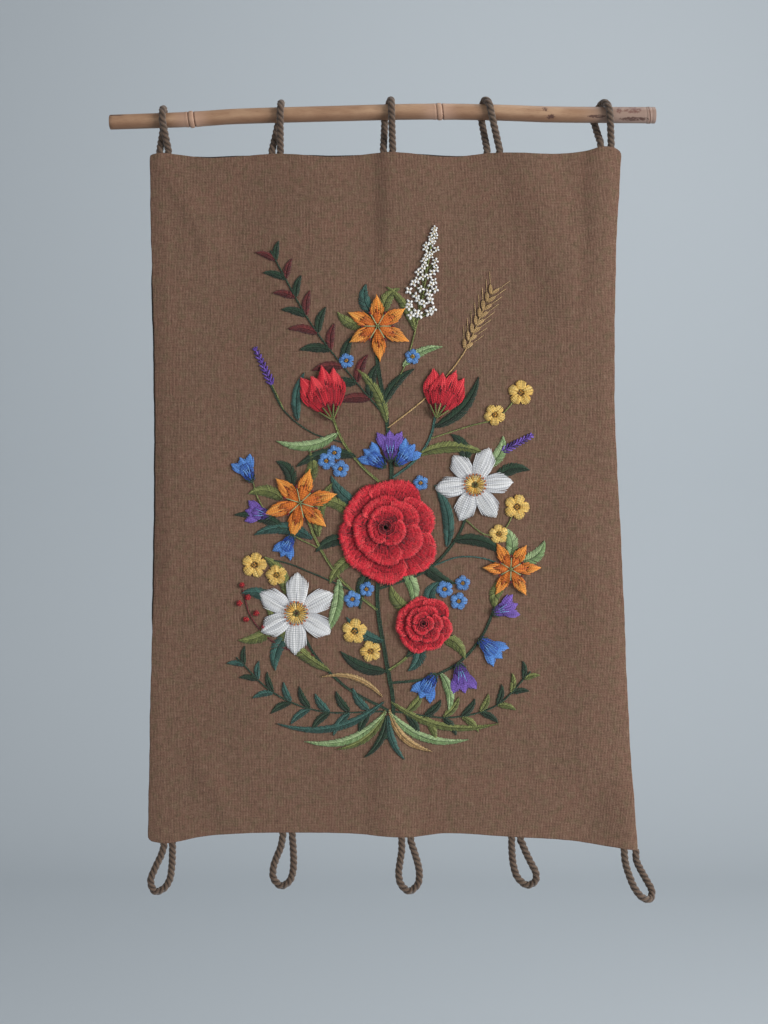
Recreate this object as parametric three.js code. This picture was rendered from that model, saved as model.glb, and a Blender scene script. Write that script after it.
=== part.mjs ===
// An embroidered wall hanging on a bamboo rod, in millimetres.
// +X is to the viewer's right, +Z is up and the embroidered face looks along -Y.
// The origin is on the rod's axis, halfway along the rod.
import * as THREE from 'three';

// Bamboo rod
const ROD_SIDES = 18;
const ROD_RING_SPACING = 30;
const ROD_BORE_RADIUS = 2.8;
const ROD_BORE_DEPTH = 14;
const ROD_END_ROUNDING = 0.6;

// Laid rope of the loops: three strands, twisted to the left
const ROPE_RADIUS = 3.7;
const ROPE_STRANDS = 3;
const POINTS_PER_STRAND = 3;
const ROPE_LAY = 20.5;
const ROPE_GROOVE = 0.78;
const SEAM_FLATTENING = 0.55;
const SEAM_FLATTENED_LENGTH = 9;
const SEAM_UPRIGHT = 2.5;
const WRAP_STEP = Math.PI / 8;

// Cloth panel and lining
const CLOTH_THICKNESS = 2;
const LINING_THICKNESS = 1;
const PANEL_TOP = -44;
const PANEL_BOTTOM = -731;
const CORNER_ROUNDING = 6;
const SIDE_CURL = 1.3;
const SIDE_CURL_WIDTH = 11;
const LINING_SHOWS = 1.1;
const LINING_INSET = 0.9;
const LINING_SHOWS_FROM = -130;
const LINING_SHOWS_TO = -545;
const LINING_FADE = 50;
const PANEL_COLUMNS = 28;
const PANEL_ROWS = 16;
const COLUMNS_APART = 6;
const STEEP_FLANK = 20;
const STEEP_HEIGHT = 1.8;

// The air between two pieces that touch
const CLEARANCE = 0.35;
const LAYER_CLEARANCE = 0.4;

// A table is an array of rows that are read by column name.
function table(columns, rows) {
  return rows.map((row) => Object.fromEntries(columns.map((name, i) => [name, row[i]])));
}

// The rod's axis sags towards its left end, and the cane thickens to the right.
const ROD_SECTIONS = table(['x', 'z', 'radius'], [
  [-272.5, -10.0, 7.2],
  [-189.5, -7.0, 7.4],
  [-147.5, -4.2, 7.5],
  [-42.5, -1.2, 7.6],
  [14.5, 0.3, 7.7],
  [62.5, 0.7, 7.8],
  [122.5, -0.5, 7.8],
  [167.5, -2.1, 7.8],
  [272.5, -2.9, 7.9],
]);

// The swollen joints of the cane, and the shape of one joint along the cane
const ROD_JOINTS = table(['x', 'swell'], [
  [-191, 1.0],
  [56.5, 1.0],
  [265.5, 0.3],
]);
const JOINT_PROFILE = table(['along', 'rise'], [
  [-7, 0],
  [-3.6, 0.35],
  [-2.8, -0.3],
  [-1.6, 0.9],
  [1.8, 0.8],
  [3.0, -0.3],
  [4.0, 0.4],
  [8, 0],
]);

// The panel's side edges, from top to bottom
const SIDE_EDGES = table(['z', 'left', 'right'], [
  [-44, -233, 237.5],
  [-130, -231.5, 234.5],
  [-220, -228.8, 232.6],
  [-310, -227.5, 232.8],
  [-400, -227.8, 237.2],
  [-490, -229.5, 241.5],
  [-580, -232.2, 245.2],
  [-670, -233.8, 250.5],
  [-731, -235, 255.5],
]);

// The top edge rises at each loop and sags between them.
const TOP_EDGE = table(['x', 'z'], [
  [-233, -44],
  [-218, -42.4],
  [-172, -47],
  [-107, -43.3],
  [-50, -46.3],
  [6, -42],
  [67, -46],
  [111, -42.2],
  [172, -43.2],
  [203, -40],
  [222, -35.8],
  [238, -38],
]);

// The bottom edge drops at each loop and furthest at the right corner.
const BOTTOM_EDGE = table(['x', 'z'], [
  [-235, -730],
  [-214, -732],
  [-180, -725.5],
  [-136, -722],
  [-40, -722],
  [24, -726],
  [67, -722],
  [134, -726],
  [185, -729],
  [215, -733.5],
  [240, -737],
  [256, -739],
]);

// Soft ridges towards the viewer: the line of the crest, the width of each flank,
// the height of the crest and the length over which both of its ends die away
const FOLD_COLUMNS = ['topX', 'topZ', 'footX', 'footZ', 'leftWidth', 'rightWidth', 'height', 'fade'];
const FOLDS = table(FOLD_COLUMNS, [
  [8.5, -20, 7.5, -110, 18, 74, 3.8, 70],
  [-82, -20, -84, -190, 60, 62, 2.8, 90],
  [129.5, -20, 183.5, -180, 32, 44, 2.6, 60],
  [215.5, -20, 214.5, -175, 18, 22, 2.0, 40],
  [-230, -39, -177, -129, 14, 30, 1.5, 30],
  [-210, -354, -208, -449, 24, 60, 1.9, 60],
  [187, -390, 189, -440, 50, 34, 1.5, 50],
  [209, -426, 210, -641, 48, 40, 2.4, 60],
  [5.5, -640, 7.5, -760, 28, 34, 2.6, 50],
  [247, -690, 249, -770, 44, 16, 3.6, 40],
  [-184, -650, -151, -713, 16, 24, 1.1, 30],
]);

// Top loops: where the rope leaves the seam in front, passes the rod's front, crest and
// back, and comes back to the seam
const TOP_LOOPS = table(['frontFoot', 'front', 'crest', 'back', 'backFoot'], [
  [-214.0, -218.7, -218.9, -220.4, -222.4],
  [-102.0, -101.6, -101.3, -104.4, -110.4],
  [10.1, 8.9, 7.9, 2.4, 0.9],
  [117.0, 107.6, 102.2, 99.2, 104.6],
  [228.5, 225.9, 220.4, 212.6, 217.8],
]);

// Bottom loops: where the two feet stand on the seam, and the rope's line between them,
// down one leg, round the bend and up the other, with y counted from the seam
const BOTTOM_LOOPS = [
  {
    feet: [-218.6, -210],
    line: table(['x', 'y', 'z'], [
      [-221.2, -0.3, -744],
      [-227.1, -0.8, -756.7],
      [-231.6, -1, -770],
      [-227.2, -0.6, -780.2],
      [-218.3, 0.2, -777.2],
      [-212.9, 0.8, -768.6],
      [-211, 1, -757.8],
      [-210.2, 0.6, -746.5],
    ]),
  },
  {
    feet: [-99.6, -90.2],
    line: table(['x', 'y', 'z'], [
      [-101.9, 0.4, -736.5],
      [-106.3, 0.8, -747.4],
      [-109.2, 1, -757.1],
      [-109, 0.8, -767.2],
      [-101.4, 0.2, -774.8],
      [-93.1, -0.5, -770.1],
      [-89.6, -0.8, -760.9],
      [-88.8, -0.6, -750.1],
      [-89.3, -0.3, -736.5],
    ]),
  },
  {
    feet: [19.2, 28.2],
    line: table(['x', 'y', 'z'], [
      [19.2, -0.6, -738.7],
      [17.5, -1, -750.1],
      [16.2, -1, -762.5],
      [18.7, -0.6, -773],
      [26.7, 0, -779.6],
      [34.9, 0.6, -773.6],
      [36.9, 1, -764.2],
      [35.9, 1, -755],
      [32.9, 0.6, -744.1],
      [29.8, 0.2, -734.4],
    ]),
  },
  {
    feet: [129.2, 138],
    line: table(['x', 'y', 'z'], [
      [129.6, 0.6, -741.9],
      [131.3, 1.2, -755.5],
      [135.5, 1.4, -767.1],
      [144.9, 0.8, -774.2],
      [152.6, -0.2, -770.2],
      [153.4, -1, -762],
      [148.7, -1.2, -752.2],
      [143.3, -0.8, -741.2],
      [139.6, -0.3, -732.2],
    ]),
  },
  {
    feet: [241.2, 253],
    line: table(['x', 'y', 'z'], [
      [242, -1.8, -750.3],
      [245.4, -4, -762.4],
      [251.1, -5.4, -775.6],
      [258.4, -5, -784.2],
      [266.6, -1.6, -786.9],
      [269.3, 2.4, -780.2],
      [264.2, 4.6, -769.3],
      [258.4, 4, -758.9],
      [254, 2, -749.2],
    ]),
  },
];

const BAMBOO = new THREE.MeshStandardMaterial({ color: 0xb08f6c, roughness: 0.5, metalness: 0 });
const BROWN_CLOTH = new THREE.MeshStandardMaterial({ color: 0x6e584a, roughness: 0.95, metalness: 0 });
const DARK_LINING = new THREE.MeshStandardMaterial({ color: 0x231c18, roughness: 0.9, metalness: 0 });
const BROWN_ROPE = new THREE.MeshStandardMaterial({ color: 0x5d4c3e, roughness: 0.9, metalness: 0 });

function clamp01(value) {
  return Math.min(1, Math.max(0, value));
}

function smooth(value) {
  const t = clamp01(value);
  return t * t * (3 - 2 * t);
}

// A smooth curve through a table: the value of one column against another, held past its ends
function curveThrough(rows, along, column) {
  const rising = rows[0][along] < rows[rows.length - 1][along] ? rows : [...rows].reverse();
  const at = rising.map((row) => row[along]);
  const value = rising.map((row) => row[column]);
  const slope = at.map((_, i) => {
    const before = Math.max(0, i - 1);
    const after = Math.min(at.length - 1, i + 1);
    return (value[after] - value[before]) / (at[after] - at[before]);
  });
  return (place) => {
    if (place <= at[0]) return value[0];
    if (place >= at[at.length - 1]) return value[value.length - 1];
    const i = at.findIndex((limit) => limit > place) - 1;
    const width = at[i + 1] - at[i];
    const t = (place - at[i]) / width;
    const rest = 1 - t;
    const ends = value[i] * (1 + 2 * t) * rest * rest + value[i + 1] * (3 - 2 * t) * t * t;
    return ends + width * t * rest * (slope[i] * rest - slope[i + 1] * t);
  };
}

// A closed tube through rings of equally many points, each ring turned the same way round.
// The diagonal of each cell climbs with the strands of a left-laid rope.
function tubeThrough(rings) {
  const sides = rings[0].length;
  const points = rings.flat();
  const index = [];
  for (let k = 0; k + 1 < rings.length; k += 1) {
    for (let j = 0; j < sides; j += 1) {
      const next = (j + 1) % sides;
      const a = k * sides + j;
      const aNext = k * sides + next;
      const b = a + sides;
      const bNext = aNext + sides;
      index.push(a, aNext, b, aNext, bNext, b);
    }
  }
  const middle = (ring) => ring.reduce((sum, p) => sum.add(p), new THREE.Vector3()).divideScalar(sides);
  const lastRing = (rings.length - 1) * sides;
  const startCentre = points.push(middle(rings[0])) - 1;
  const endCentre = points.push(middle(rings[rings.length - 1])) - 1;
  for (let j = 0; j < sides; j += 1) {
    const next = (j + 1) % sides;
    index.push(startCentre, next, j);
    index.push(endCentre, lastRing + j, lastRing + next);
  }
  return solidFrom(points, index);
}

function solidFrom(points, index) {
  const geometry = new THREE.BufferGeometry().setFromPoints(points);
  geometry.setIndex(index);
  geometry.computeVertexNormals();
  return geometry;
}

// The rod: its axis and radius at any place along it
const rodHeight = curveThrough(ROD_SECTIONS, 'x', 'z');
const rodPlainRadius = curveThrough(ROD_SECTIONS, 'x', 'radius');
const jointRise = curveThrough(JOINT_PROFILE, 'along', 'rise');

function rodRadius(x) {
  const swells = ROD_JOINTS.map((joint) => joint.swell * jointRise(x - joint.x));
  return rodPlainRadius(x) + swells.reduce((sum, swell) => sum + swell, 0);
}

function rodRing(x, radius) {
  return Array.from({ length: ROD_SIDES }, (_, j) => {
    const turn = (2 * Math.PI * j) / ROD_SIDES;
    return new THREE.Vector3(x, radius * Math.cos(turn), rodHeight(x) + radius * Math.sin(turn));
  });
}

function bambooRod() {
  const start = ROD_SECTIONS[0].x;
  const end = ROD_SECTIONS[ROD_SECTIONS.length - 1].x;
  const joints = ROD_JOINTS.flatMap((joint) => JOINT_PROFILE.map((row) => joint.x + row.along));
  const count = Math.round((end - start) / ROD_RING_SPACING);
  const even = Array.from({ length: count - 1 }, (_, i) => start + ((end - start) * (i + 1)) / count);
  const clearOfJoints = even.filter((x) => joints.every((joint) => Math.abs(joint - x) > 3));
  const places = [...clearOfJoints, ...joints].filter((x) => x < end - 1).sort((a, b) => a - b);
  const bore = [rodRing(start + ROD_BORE_DEPTH, ROD_BORE_RADIUS), rodRing(start, ROD_BORE_RADIUS)];
  const farBore = [rodRing(end, ROD_BORE_RADIUS), rodRing(end - ROD_BORE_DEPTH, ROD_BORE_RADIUS)];
  return tubeThrough([
    ...bore,
    rodRing(start, rodRadius(start) - ROD_END_ROUNDING),
    rodRing(start + ROD_END_ROUNDING, rodRadius(start)),
    ...places.map((x) => rodRing(x, rodRadius(x))),
    rodRing(end - ROD_END_ROUNDING, rodRadius(end)),
    rodRing(end, rodRadius(end) - ROD_END_ROUNDING),
    ...farBore,
  ]);
}

// The panel's outline, and the depth of its front face where it folds
const leftEdge = curveThrough(SIDE_EDGES, 'z', 'left');
const rightEdge = curveThrough(SIDE_EDGES, 'z', 'right');
const topEdge = curveThrough(TOP_EDGE, 'x', 'z');
const bottomEdge = curveThrough(BOTTOM_EDGE, 'x', 'z');

function foldHeight(fold, x, z) {
  const down = clamp01((z - fold.topZ) / (fold.footZ - fold.topZ));
  const fromCrest = x - (fold.topX + (fold.footX - fold.topX) * down);
  const share = fromCrest / (fromCrest < 0 ? fold.leftWidth : fold.rightWidth);
  if (Math.abs(share) >= 1) return 0;
  const past = Math.max(0, z - fold.topZ, fold.footZ - z);
  return fold.height * (1 - share * share) ** 2 * (1 - smooth(past / fold.fade));
}

// How far the middle of the sewn layers lies in front of the rod's axis (-) or behind it (+)
function clothDepth(x, z) {
  const raised = FOLDS.reduce((sum, fold) => sum + foldHeight(fold, x, z), 0);
  const fromSide = Math.min(x - leftEdge(z), rightEdge(z) - x);
  const curl = SIDE_CURL * (1 - smooth(fromSide / SIDE_CURL_WIDTH));
  return curl - raised;
}

const LAYERS = CLOTH_THICKNESS + LAYER_CLEARANCE + LINING_THICKNESS;

// Shares of the panel's width at which a column of points runs down: even ones, and
// closer ones beside the crests of the steep folds
function columnShares() {
  const even = Array.from({ length: PANEL_COLUMNS + 1 }, (_, i) => i / PANEL_COLUMNS);
  const width = rightEdge(PANEL_TOP) - leftEdge(PANEL_TOP);
  const steep = FOLDS.filter((fold) => fold.leftWidth < STEEP_FLANK && fold.height > STEEP_HEIGHT);
  const places = steep.flatMap((fold) => [0, 0.5, 1].map((share) => fold.topX - fold.leftWidth * share));
  const hem = SIDE_CURL_WIDTH / 2 / width;
  const fixed = [0, hem, 1 - hem, 1, ...places.map((x) => (x - leftEdge(PANEL_TOP)) / width)];
  const apart = (share) => fixed.every((other) => Math.abs(other - share) * width > COLUMNS_APART);
  return [...fixed, ...even.filter(apart)].sort((a, b) => a - b);
}

function rowShares() {
  const even = Array.from({ length: PANEL_ROWS - 1 }, (_, i) => (i + 1) / PANEL_ROWS);
  const hem = CORNER_ROUNDING / (PANEL_TOP - PANEL_BOTTOM);
  return [0, hem, ...even, 1 - hem, 1];
}

// One layer of the panel, `grow` giving how far its edges lie outside the front cloth's
function layer(front, thickness, grow) {
  const across = columnShares();
  const down = rowShares();
  const place = (u, v) => {
    const nominal = PANEL_TOP + (PANEL_BOTTOM - PANEL_TOP) * v;
    const left = leftEdge(nominal) - grow.left(nominal);
    const right = rightEdge(nominal) + grow.right;
    const x = left + (right - left) * u;
    const top = topEdge(x) + grow.top(x);
    const bottom = bottomEdge(x) - grow.bottom;
    const inCorner = (u === 0 || u === 1) && (v === 0 || v === 1);
    const pull = inCorner ? CORNER_ROUNDING * (1 - Math.SQRT1_2) : 0;
    const z = top + (bottom - top) * v + (v === 0 ? -pull : pull);
    return new THREE.Vector2(x + (u === 0 ? pull : -pull), z);
  };
  const points = [];
  for (const depth of [front, front + thickness]) {
    for (const v of down) {
      for (const u of across) {
        const { x, y: z } = place(u, v);
        points.push(new THREE.Vector3(x, clothDepth(x, z) - LAYERS / 2 + depth, z));
      }
    }
  }
  return solidFrom(points, sheetIndex(across.length, down.length));
}

// The faces of a closed sheet: a front grid, a back grid after it, and the rim between them
function sheetIndex(columns, rows) {
  const index = [];
  const back = columns * rows;
  for (let r = 0; r + 1 < rows; r += 1) {
    for (let c = 0; c + 1 < columns; c += 1) {
      const a = r * columns + c;
      const below = a + columns;
      index.push(a, below, below + 1, a, below + 1, a + 1);
      index.push(back + a, back + below + 1, back + below, back + a, back + a + 1, back + below + 1);
    }
  }
  const last = (rows - 1) * columns;
  const topRim = Array.from({ length: columns }, (_, c) => columns - 1 - c);
  const bottomRim = Array.from({ length: columns }, (_, c) => last + c);
  const leftRim = Array.from({ length: rows }, (_, r) => r * columns);
  const rightRim = Array.from({ length: rows }, (_, r) => (rows - 1 - r) * columns + columns - 1);
  for (const rim of [topRim, leftRim, bottomRim, rightRim]) {
    for (let i = 0; i + 1 < rim.length; i += 1) {
      const [a, b] = [rim[i], rim[i + 1]];
      index.push(b, a, back + a, b, back + a, back + b);
    }
  }
  return index;
}

function frontCloth() {
  return layer(0, CLOTH_THICKNESS, { left: () => 0, right: 0, top: () => 0, bottom: 0 });
}

// The lining stands out past the cloth's left edge half-way down, and past its top edge
// between the first four loops; elsewhere it stays inside.
function lining() {
  const out = LINING_SHOWS + LINING_INSET;
  const halfWay = (z) =>
    smooth((LINING_SHOWS_FROM - z) / LINING_FADE) * smooth((z - LINING_SHOWS_TO) / LINING_FADE);
  const feet = TOP_LOOPS.slice(0, 4).map((loop) => (loop.frontFoot + loop.backFoot) / 2);
  const between = (x) => {
    const i = feet.findIndex((foot, n) => n + 1 < feet.length && x > foot && x < feet[n + 1]);
    if (i < 0) return 0;
    return smooth((x - feet[i]) / LINING_FADE) * smooth((feet[i + 1] - x) / LINING_FADE);
  };
  return layer(CLOTH_THICKNESS + LAYER_CLEARANCE, LINING_THICKNESS, {
    left: (z) => out * halfWay(z) - LINING_INSET,
    right: -LINING_INSET,
    top: (x) => out * between(x) - LINING_INSET,
    bottom: -LINING_INSET,
  });
}

// The twisted rope along a line of points, flattened where both of its ends meet a seam
function rope(route) {
  const line = new THREE.CatmullRomCurve3(route, false, 'centripetal');
  line.arcLengthDivisions = 600;
  const sides = ROPE_STRANDS * POINTS_PER_STRAND;
  const length = line.getLength();
  const steps = Math.round((length * sides) / ROPE_LAY);
  const { normals, binormals } = line.computeFrenetFrames(steps, false);
  const rings = [];
  for (let k = 0; k <= steps; k += 1) {
    const centre = line.getPointAt(k / steps);
    const fromEnd = (Math.min(k, steps - k) / steps) * length;
    const flat = SEAM_FLATTENING + (1 - SEAM_FLATTENING) * smooth(fromEnd / SEAM_FLATTENED_LENGTH);
    const ring = [];
    for (let j = 0; j < sides; j += 1) {
      const turn = (2 * Math.PI * j) / sides;
      const inGroove = (j + k) % POINTS_PER_STRAND === 0;
      const radius = ROPE_RADIUS * (inGroove ? ROPE_GROOVE : 1);
      const offset = normals[k].clone().multiplyScalar(radius * Math.cos(turn));
      offset.addScaledVector(binormals[k], radius * Math.sin(turn));
      offset.y *= flat;
      ring.push(offset.add(centre));
    }
    rings.push(ring);
  }
  return tubeThrough(rings);
}

// The height of an end of rope that stands on the panel's top edge, or hangs under its bottom edge
function seamHeight(edge, x, side) {
  const reach = [-1, -0.5, 0, 0.5, 1].map((share) => edge(x + share * ROPE_RADIUS));
  const furthest = side > 0 ? Math.max(...reach) : Math.min(...reach);
  return furthest + side * CLEARANCE;
}

// Up from the seam in front of the rod, over it, and down behind it, taut all the way
function topLoopRoute(loop) {
  const wrap = rodPlainRadius(loop.crest) + CLEARANCE + ROPE_RADIUS;
  const axis = rodHeight(loop.crest);
  const foot = (x) => new THREE.Vector3(x, clothDepth(x, PANEL_TOP), seamHeight(topEdge, x, 1));
  const ends = [foot(loop.frontFoot), foot(loop.backFoot)];
  const raised = ends.map((end) => end.clone().add(new THREE.Vector3(0, 0, SEAM_UPRIGHT)));
  const leaves = raised.map((end, i) => {
    const away = Math.hypot(end.y, axis - end.z);
    const lean = Math.atan2(i === 0 ? -end.y : end.y, axis - end.z);
    return lean + Math.acos(wrap / away) - Math.PI / 2;
  });
  const from = leaves[0];
  const to = Math.PI - leaves[1];
  const count = Math.ceil((to - from) / WRAP_STEP);
  const across = new THREE.SplineCurve([
    new THREE.Vector2(0, loop.front),
    new THREE.Vector2(0.5, loop.crest),
    new THREE.Vector2(1, loop.back),
  ]);
  const round = Array.from({ length: count + 1 }, (_, i) => {
    const turn = from + ((to - from) * i) / count;
    const x = across.getPoint(i / count).y;
    return new THREE.Vector3(x, -wrap * Math.cos(turn), axis + wrap * Math.sin(turn));
  });
  const along = (a, b) => [1 / 3, 2 / 3].map((share) => a.clone().lerp(b, share));
  return [
    ends[0],
    raised[0],
    ...along(raised[0], round[0]),
    ...round,
    ...along(round[count], raised[1]),
    raised[1],
    ends[1],
  ];
}

// Down from the seam, round and up again: the two ends stand upright under the hem
function bottomLoopRoute(loop) {
  const foot = (x) => new THREE.Vector3(x, clothDepth(x, PANEL_BOTTOM), seamHeight(bottomEdge, x, -1));
  const under = (point) => point.clone().add(new THREE.Vector3(0, 0, -SEAM_UPRIGHT));
  const ends = loop.feet.map(foot);
  const hung = loop.line.map((row, i) => {
    const share = i / (loop.line.length - 1);
    return new THREE.Vector3(row.x, row.y + ends[0].y + (ends[1].y - ends[0].y) * share, row.z);
  });
  return [ends[0], under(ends[0]), ...hung, under(ends[1]), ends[1]];
}

const hanging = new THREE.Group();

function addPiece(name, geometry, material) {
  const piece = new THREE.Mesh(geometry, material);
  piece.name = name;
  hanging.add(piece);
}

addPiece('bamboo_rod', bambooRod(), BAMBOO);
addPiece('front_cloth', frontCloth(), BROWN_CLOTH);
addPiece('lining', lining(), DARK_LINING);
TOP_LOOPS.forEach((loop, i) => {
  addPiece(`top_loop_${i + 1}`, rope(topLoopRoute(loop)), BROWN_ROPE);
});
BOTTOM_LOOPS.forEach((loop, i) => {
  addPiece(`bottom_loop_${i + 1}`, rope(bottomLoopRoute(loop)), BROWN_ROPE);
});

export default hanging;
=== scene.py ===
import math
import random

import bpy
import numpy as np
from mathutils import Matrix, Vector


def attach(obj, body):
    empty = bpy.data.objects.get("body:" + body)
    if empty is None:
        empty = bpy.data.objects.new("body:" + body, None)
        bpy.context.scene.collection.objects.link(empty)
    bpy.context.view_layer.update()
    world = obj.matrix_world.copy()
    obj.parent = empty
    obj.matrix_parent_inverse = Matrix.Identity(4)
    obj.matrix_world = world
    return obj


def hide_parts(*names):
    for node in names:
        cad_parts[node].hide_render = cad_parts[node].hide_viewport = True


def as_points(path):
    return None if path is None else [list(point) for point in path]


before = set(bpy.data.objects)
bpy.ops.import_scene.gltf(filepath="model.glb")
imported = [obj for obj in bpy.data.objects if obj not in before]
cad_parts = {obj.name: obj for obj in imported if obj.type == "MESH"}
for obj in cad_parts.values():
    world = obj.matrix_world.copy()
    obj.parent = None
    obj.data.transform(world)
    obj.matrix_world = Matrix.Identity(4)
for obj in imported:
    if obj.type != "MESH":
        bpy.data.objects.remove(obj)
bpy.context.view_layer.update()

# Camera. It looks at the hanging face on, level with its middle, and takes in a plain
# margin all round. Sizes in this script are millimetres until MM turns them to metres.
MM = 0.001
LOOKS_AT_X = 1.5
LOOKS_AT_Z = -401
PICTURE_HEIGHT = 1024
LENS = 50
SENSOR = 36

distance = PICTURE_HEIGHT * LENS / SENSOR
bpy.ops.object.select_all(action="DESELECT")
bpy.ops.object.camera_add(
    location=(LOOKS_AT_X * MM, -distance * MM, LOOKS_AT_Z * MM), rotation=(math.pi / 2, 0, 0)
)
camera = bpy.context.object
camera.data.lens = LENS
camera.data.sensor_width = SENSOR
bpy.context.scene.camera = camera
bpy.context.scene.view_settings.view_transform = "Standard"

# Bamboo rod. One cut length of thin cane that sags a little to the left, with two swollen
# joints, a hollow at each end, fine fibres along it and brown age stains near the right end.
ROD_SECTIONS = [  # x, height of the axis, radius
    (-272.5, -10.0, 7.2),
    (-189.5, -7.0, 7.4),
    (-147.5, -4.2, 7.5),
    (-42.5, -1.2, 7.6),
    (14.5, 0.3, 7.7),
    (62.5, 0.7, 7.8),
    (122.5, -0.5, 7.8),
    (167.5, -2.1, 7.8),
    (272.5, -2.9, 7.9),
]
ROD_JOINTS = [(-191, 0.9), (56.5, 0.6), (265.5, 0.3)]  # x, how much it swells
JOINT_PROFILE = [  # distance along the cane, rise of its surface
    (-7, 0),
    (-3.6, 0.35),
    (-2.8, -0.3),
    (-1.6, 0.9),
    (1.8, 0.8),
    (3.0, -0.3),
    (4.0, 0.4),
    (8, 0),
]
JOINT_LEAN = 8
JOINT_HALF_LENGTH = 7
JOINT_LEAN_FADE = 12
JOINT_RINGS_FROM, JOINT_RINGS_TO = -7.2, 6.7
PLAIN_FROM_JOINT = 11
PLAIN_FROM_END = 4
SMALLEST_LEAN = 0.01
SHARP_EDGE = 50
CANE_SIDES = 56
CANE_RING_SPACING = 9
JOINT_RING_SPACING = 0.6
BORE_RADIUS = 2.8
BORE_DEPTH = 14
END_ROUNDING = 0.6


def smooth(value):
    t = np.clip(value, 0, 1)
    return t * t * (3 - 2 * t)


def curve_through(rows):
    """A smooth curve through rows of (place, value), held past its ends."""
    at, value = np.array(sorted(rows), float).T
    before = np.maximum(np.arange(len(at)) - 1, 0)
    after = np.minimum(np.arange(len(at)) + 1, len(at) - 1)
    slope = (value[after] - value[before]) / (at[after] - at[before])

    def curve(place):
        place = np.clip(place, at[0], at[-1])
        i = np.clip(np.searchsorted(at, place, side="right") - 1, 0, len(at) - 2)
        width = at[i + 1] - at[i]
        t = (place - at[i]) / width
        rest = 1 - t
        ends = value[i] * (1 + 2 * t) * rest * rest + value[i + 1] * (3 - 2 * t) * t * t
        return ends + width * t * rest * (slope[i] * rest - slope[i + 1] * t)

    return curve


rod_height = curve_through([(x, z) for x, z, _ in ROD_SECTIONS])
rod_plain_radius = curve_through([(x, radius) for x, _, radius in ROD_SECTIONS])
joint_rise = curve_through(JOINT_PROFILE)


def rod_radius(x):
    return rod_plain_radius(x) + sum(swell * joint_rise(x - at) for at, swell in ROD_JOINTS)


def joint_lean(x):
    """The tilt of a ring of the cane, in degrees: only the joints lean."""
    lean = 0
    for at, swell in ROD_JOINTS:
        past = (abs(x - at) - JOINT_HALF_LENGTH) / JOINT_LEAN_FADE
        lean += JOINT_LEAN * swell * (1 - smooth(past))
    return lean


rod_start = ROD_SECTIONS[0][0]
rod_end = ROD_SECTIONS[-1][0]
along_joint = np.arange(JOINT_RINGS_FROM, JOINT_RINGS_TO, JOINT_RING_SPACING)
near_joints = [at + along for at, _ in ROD_JOINTS for along in along_joint]
plain = np.arange(rod_start + PLAIN_FROM_END, rod_end - PLAIN_FROM_END, CANE_RING_SPACING)
plain = [x for x in plain if all(abs(x - at) > PLAIN_FROM_JOINT for at, _ in ROD_JOINTS)]
cane_rings = [
    (rod_start, BORE_RADIUS),
    (rod_start, rod_radius(rod_start) - END_ROUNDING),
    (rod_start + END_ROUNDING, rod_radius(rod_start)),
    *[(x, rod_radius(x)) for x in sorted([*near_joints, *plain])],
    (rod_end - END_ROUNDING, rod_radius(rod_end)),
    (rod_end, rod_radius(rod_end) - END_ROUNDING),
    (rod_end, BORE_RADIUS),
    (rod_end - BORE_DEPTH, BORE_RADIUS),
]

bpy.ops.object.select_all(action="DESELECT")
bpy.ops.mesh.primitive_circle_add(
    vertices=CANE_SIDES,
    radius=BORE_RADIUS * MM,
    fill_type="NGON",
    location=((rod_start + BORE_DEPTH) * MM, 0, rod_height(rod_start) * MM),
    rotation=(0, math.pi / 2, 0),
)
cane = bpy.context.object
cane.name = "bamboo_cane"
bpy.ops.object.transform_apply(location=True, rotation=True, scale=True)
bpy.ops.object.mode_set(mode="EDIT")
bpy.ops.mesh.select_all(action="SELECT")
at_x, at_radius, at_lean = rod_start + BORE_DEPTH, BORE_RADIUS, 0
for x, radius in cane_rings:
    step = ((x - at_x) * MM, 0, (rod_height(x) - rod_height(at_x)) * MM)
    bpy.ops.mesh.extrude_region_move(TRANSFORM_OT_translate={"value": step})
    centre = (x * MM, 0, rod_height(x) * MM)
    share = radius / at_radius
    bpy.ops.transform.resize(value=(1, share, share), center_override=centre)
    lean = joint_lean(x) if radius > BORE_RADIUS else 0
    if abs(lean - at_lean) > SMALLEST_LEAN:
        turn = math.radians(lean - at_lean)
        bpy.ops.transform.rotate(value=turn, orient_axis="Y", center_override=centre)
    at_x, at_radius, at_lean = x, radius, lean
bpy.ops.mesh.select_all(action="SELECT")
bpy.ops.mesh.normals_make_consistent(inside=False)
bpy.ops.object.mode_set(mode="OBJECT")
bpy.ops.object.shade_smooth_by_angle(angle=math.radians(SHARP_EDGE))


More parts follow.
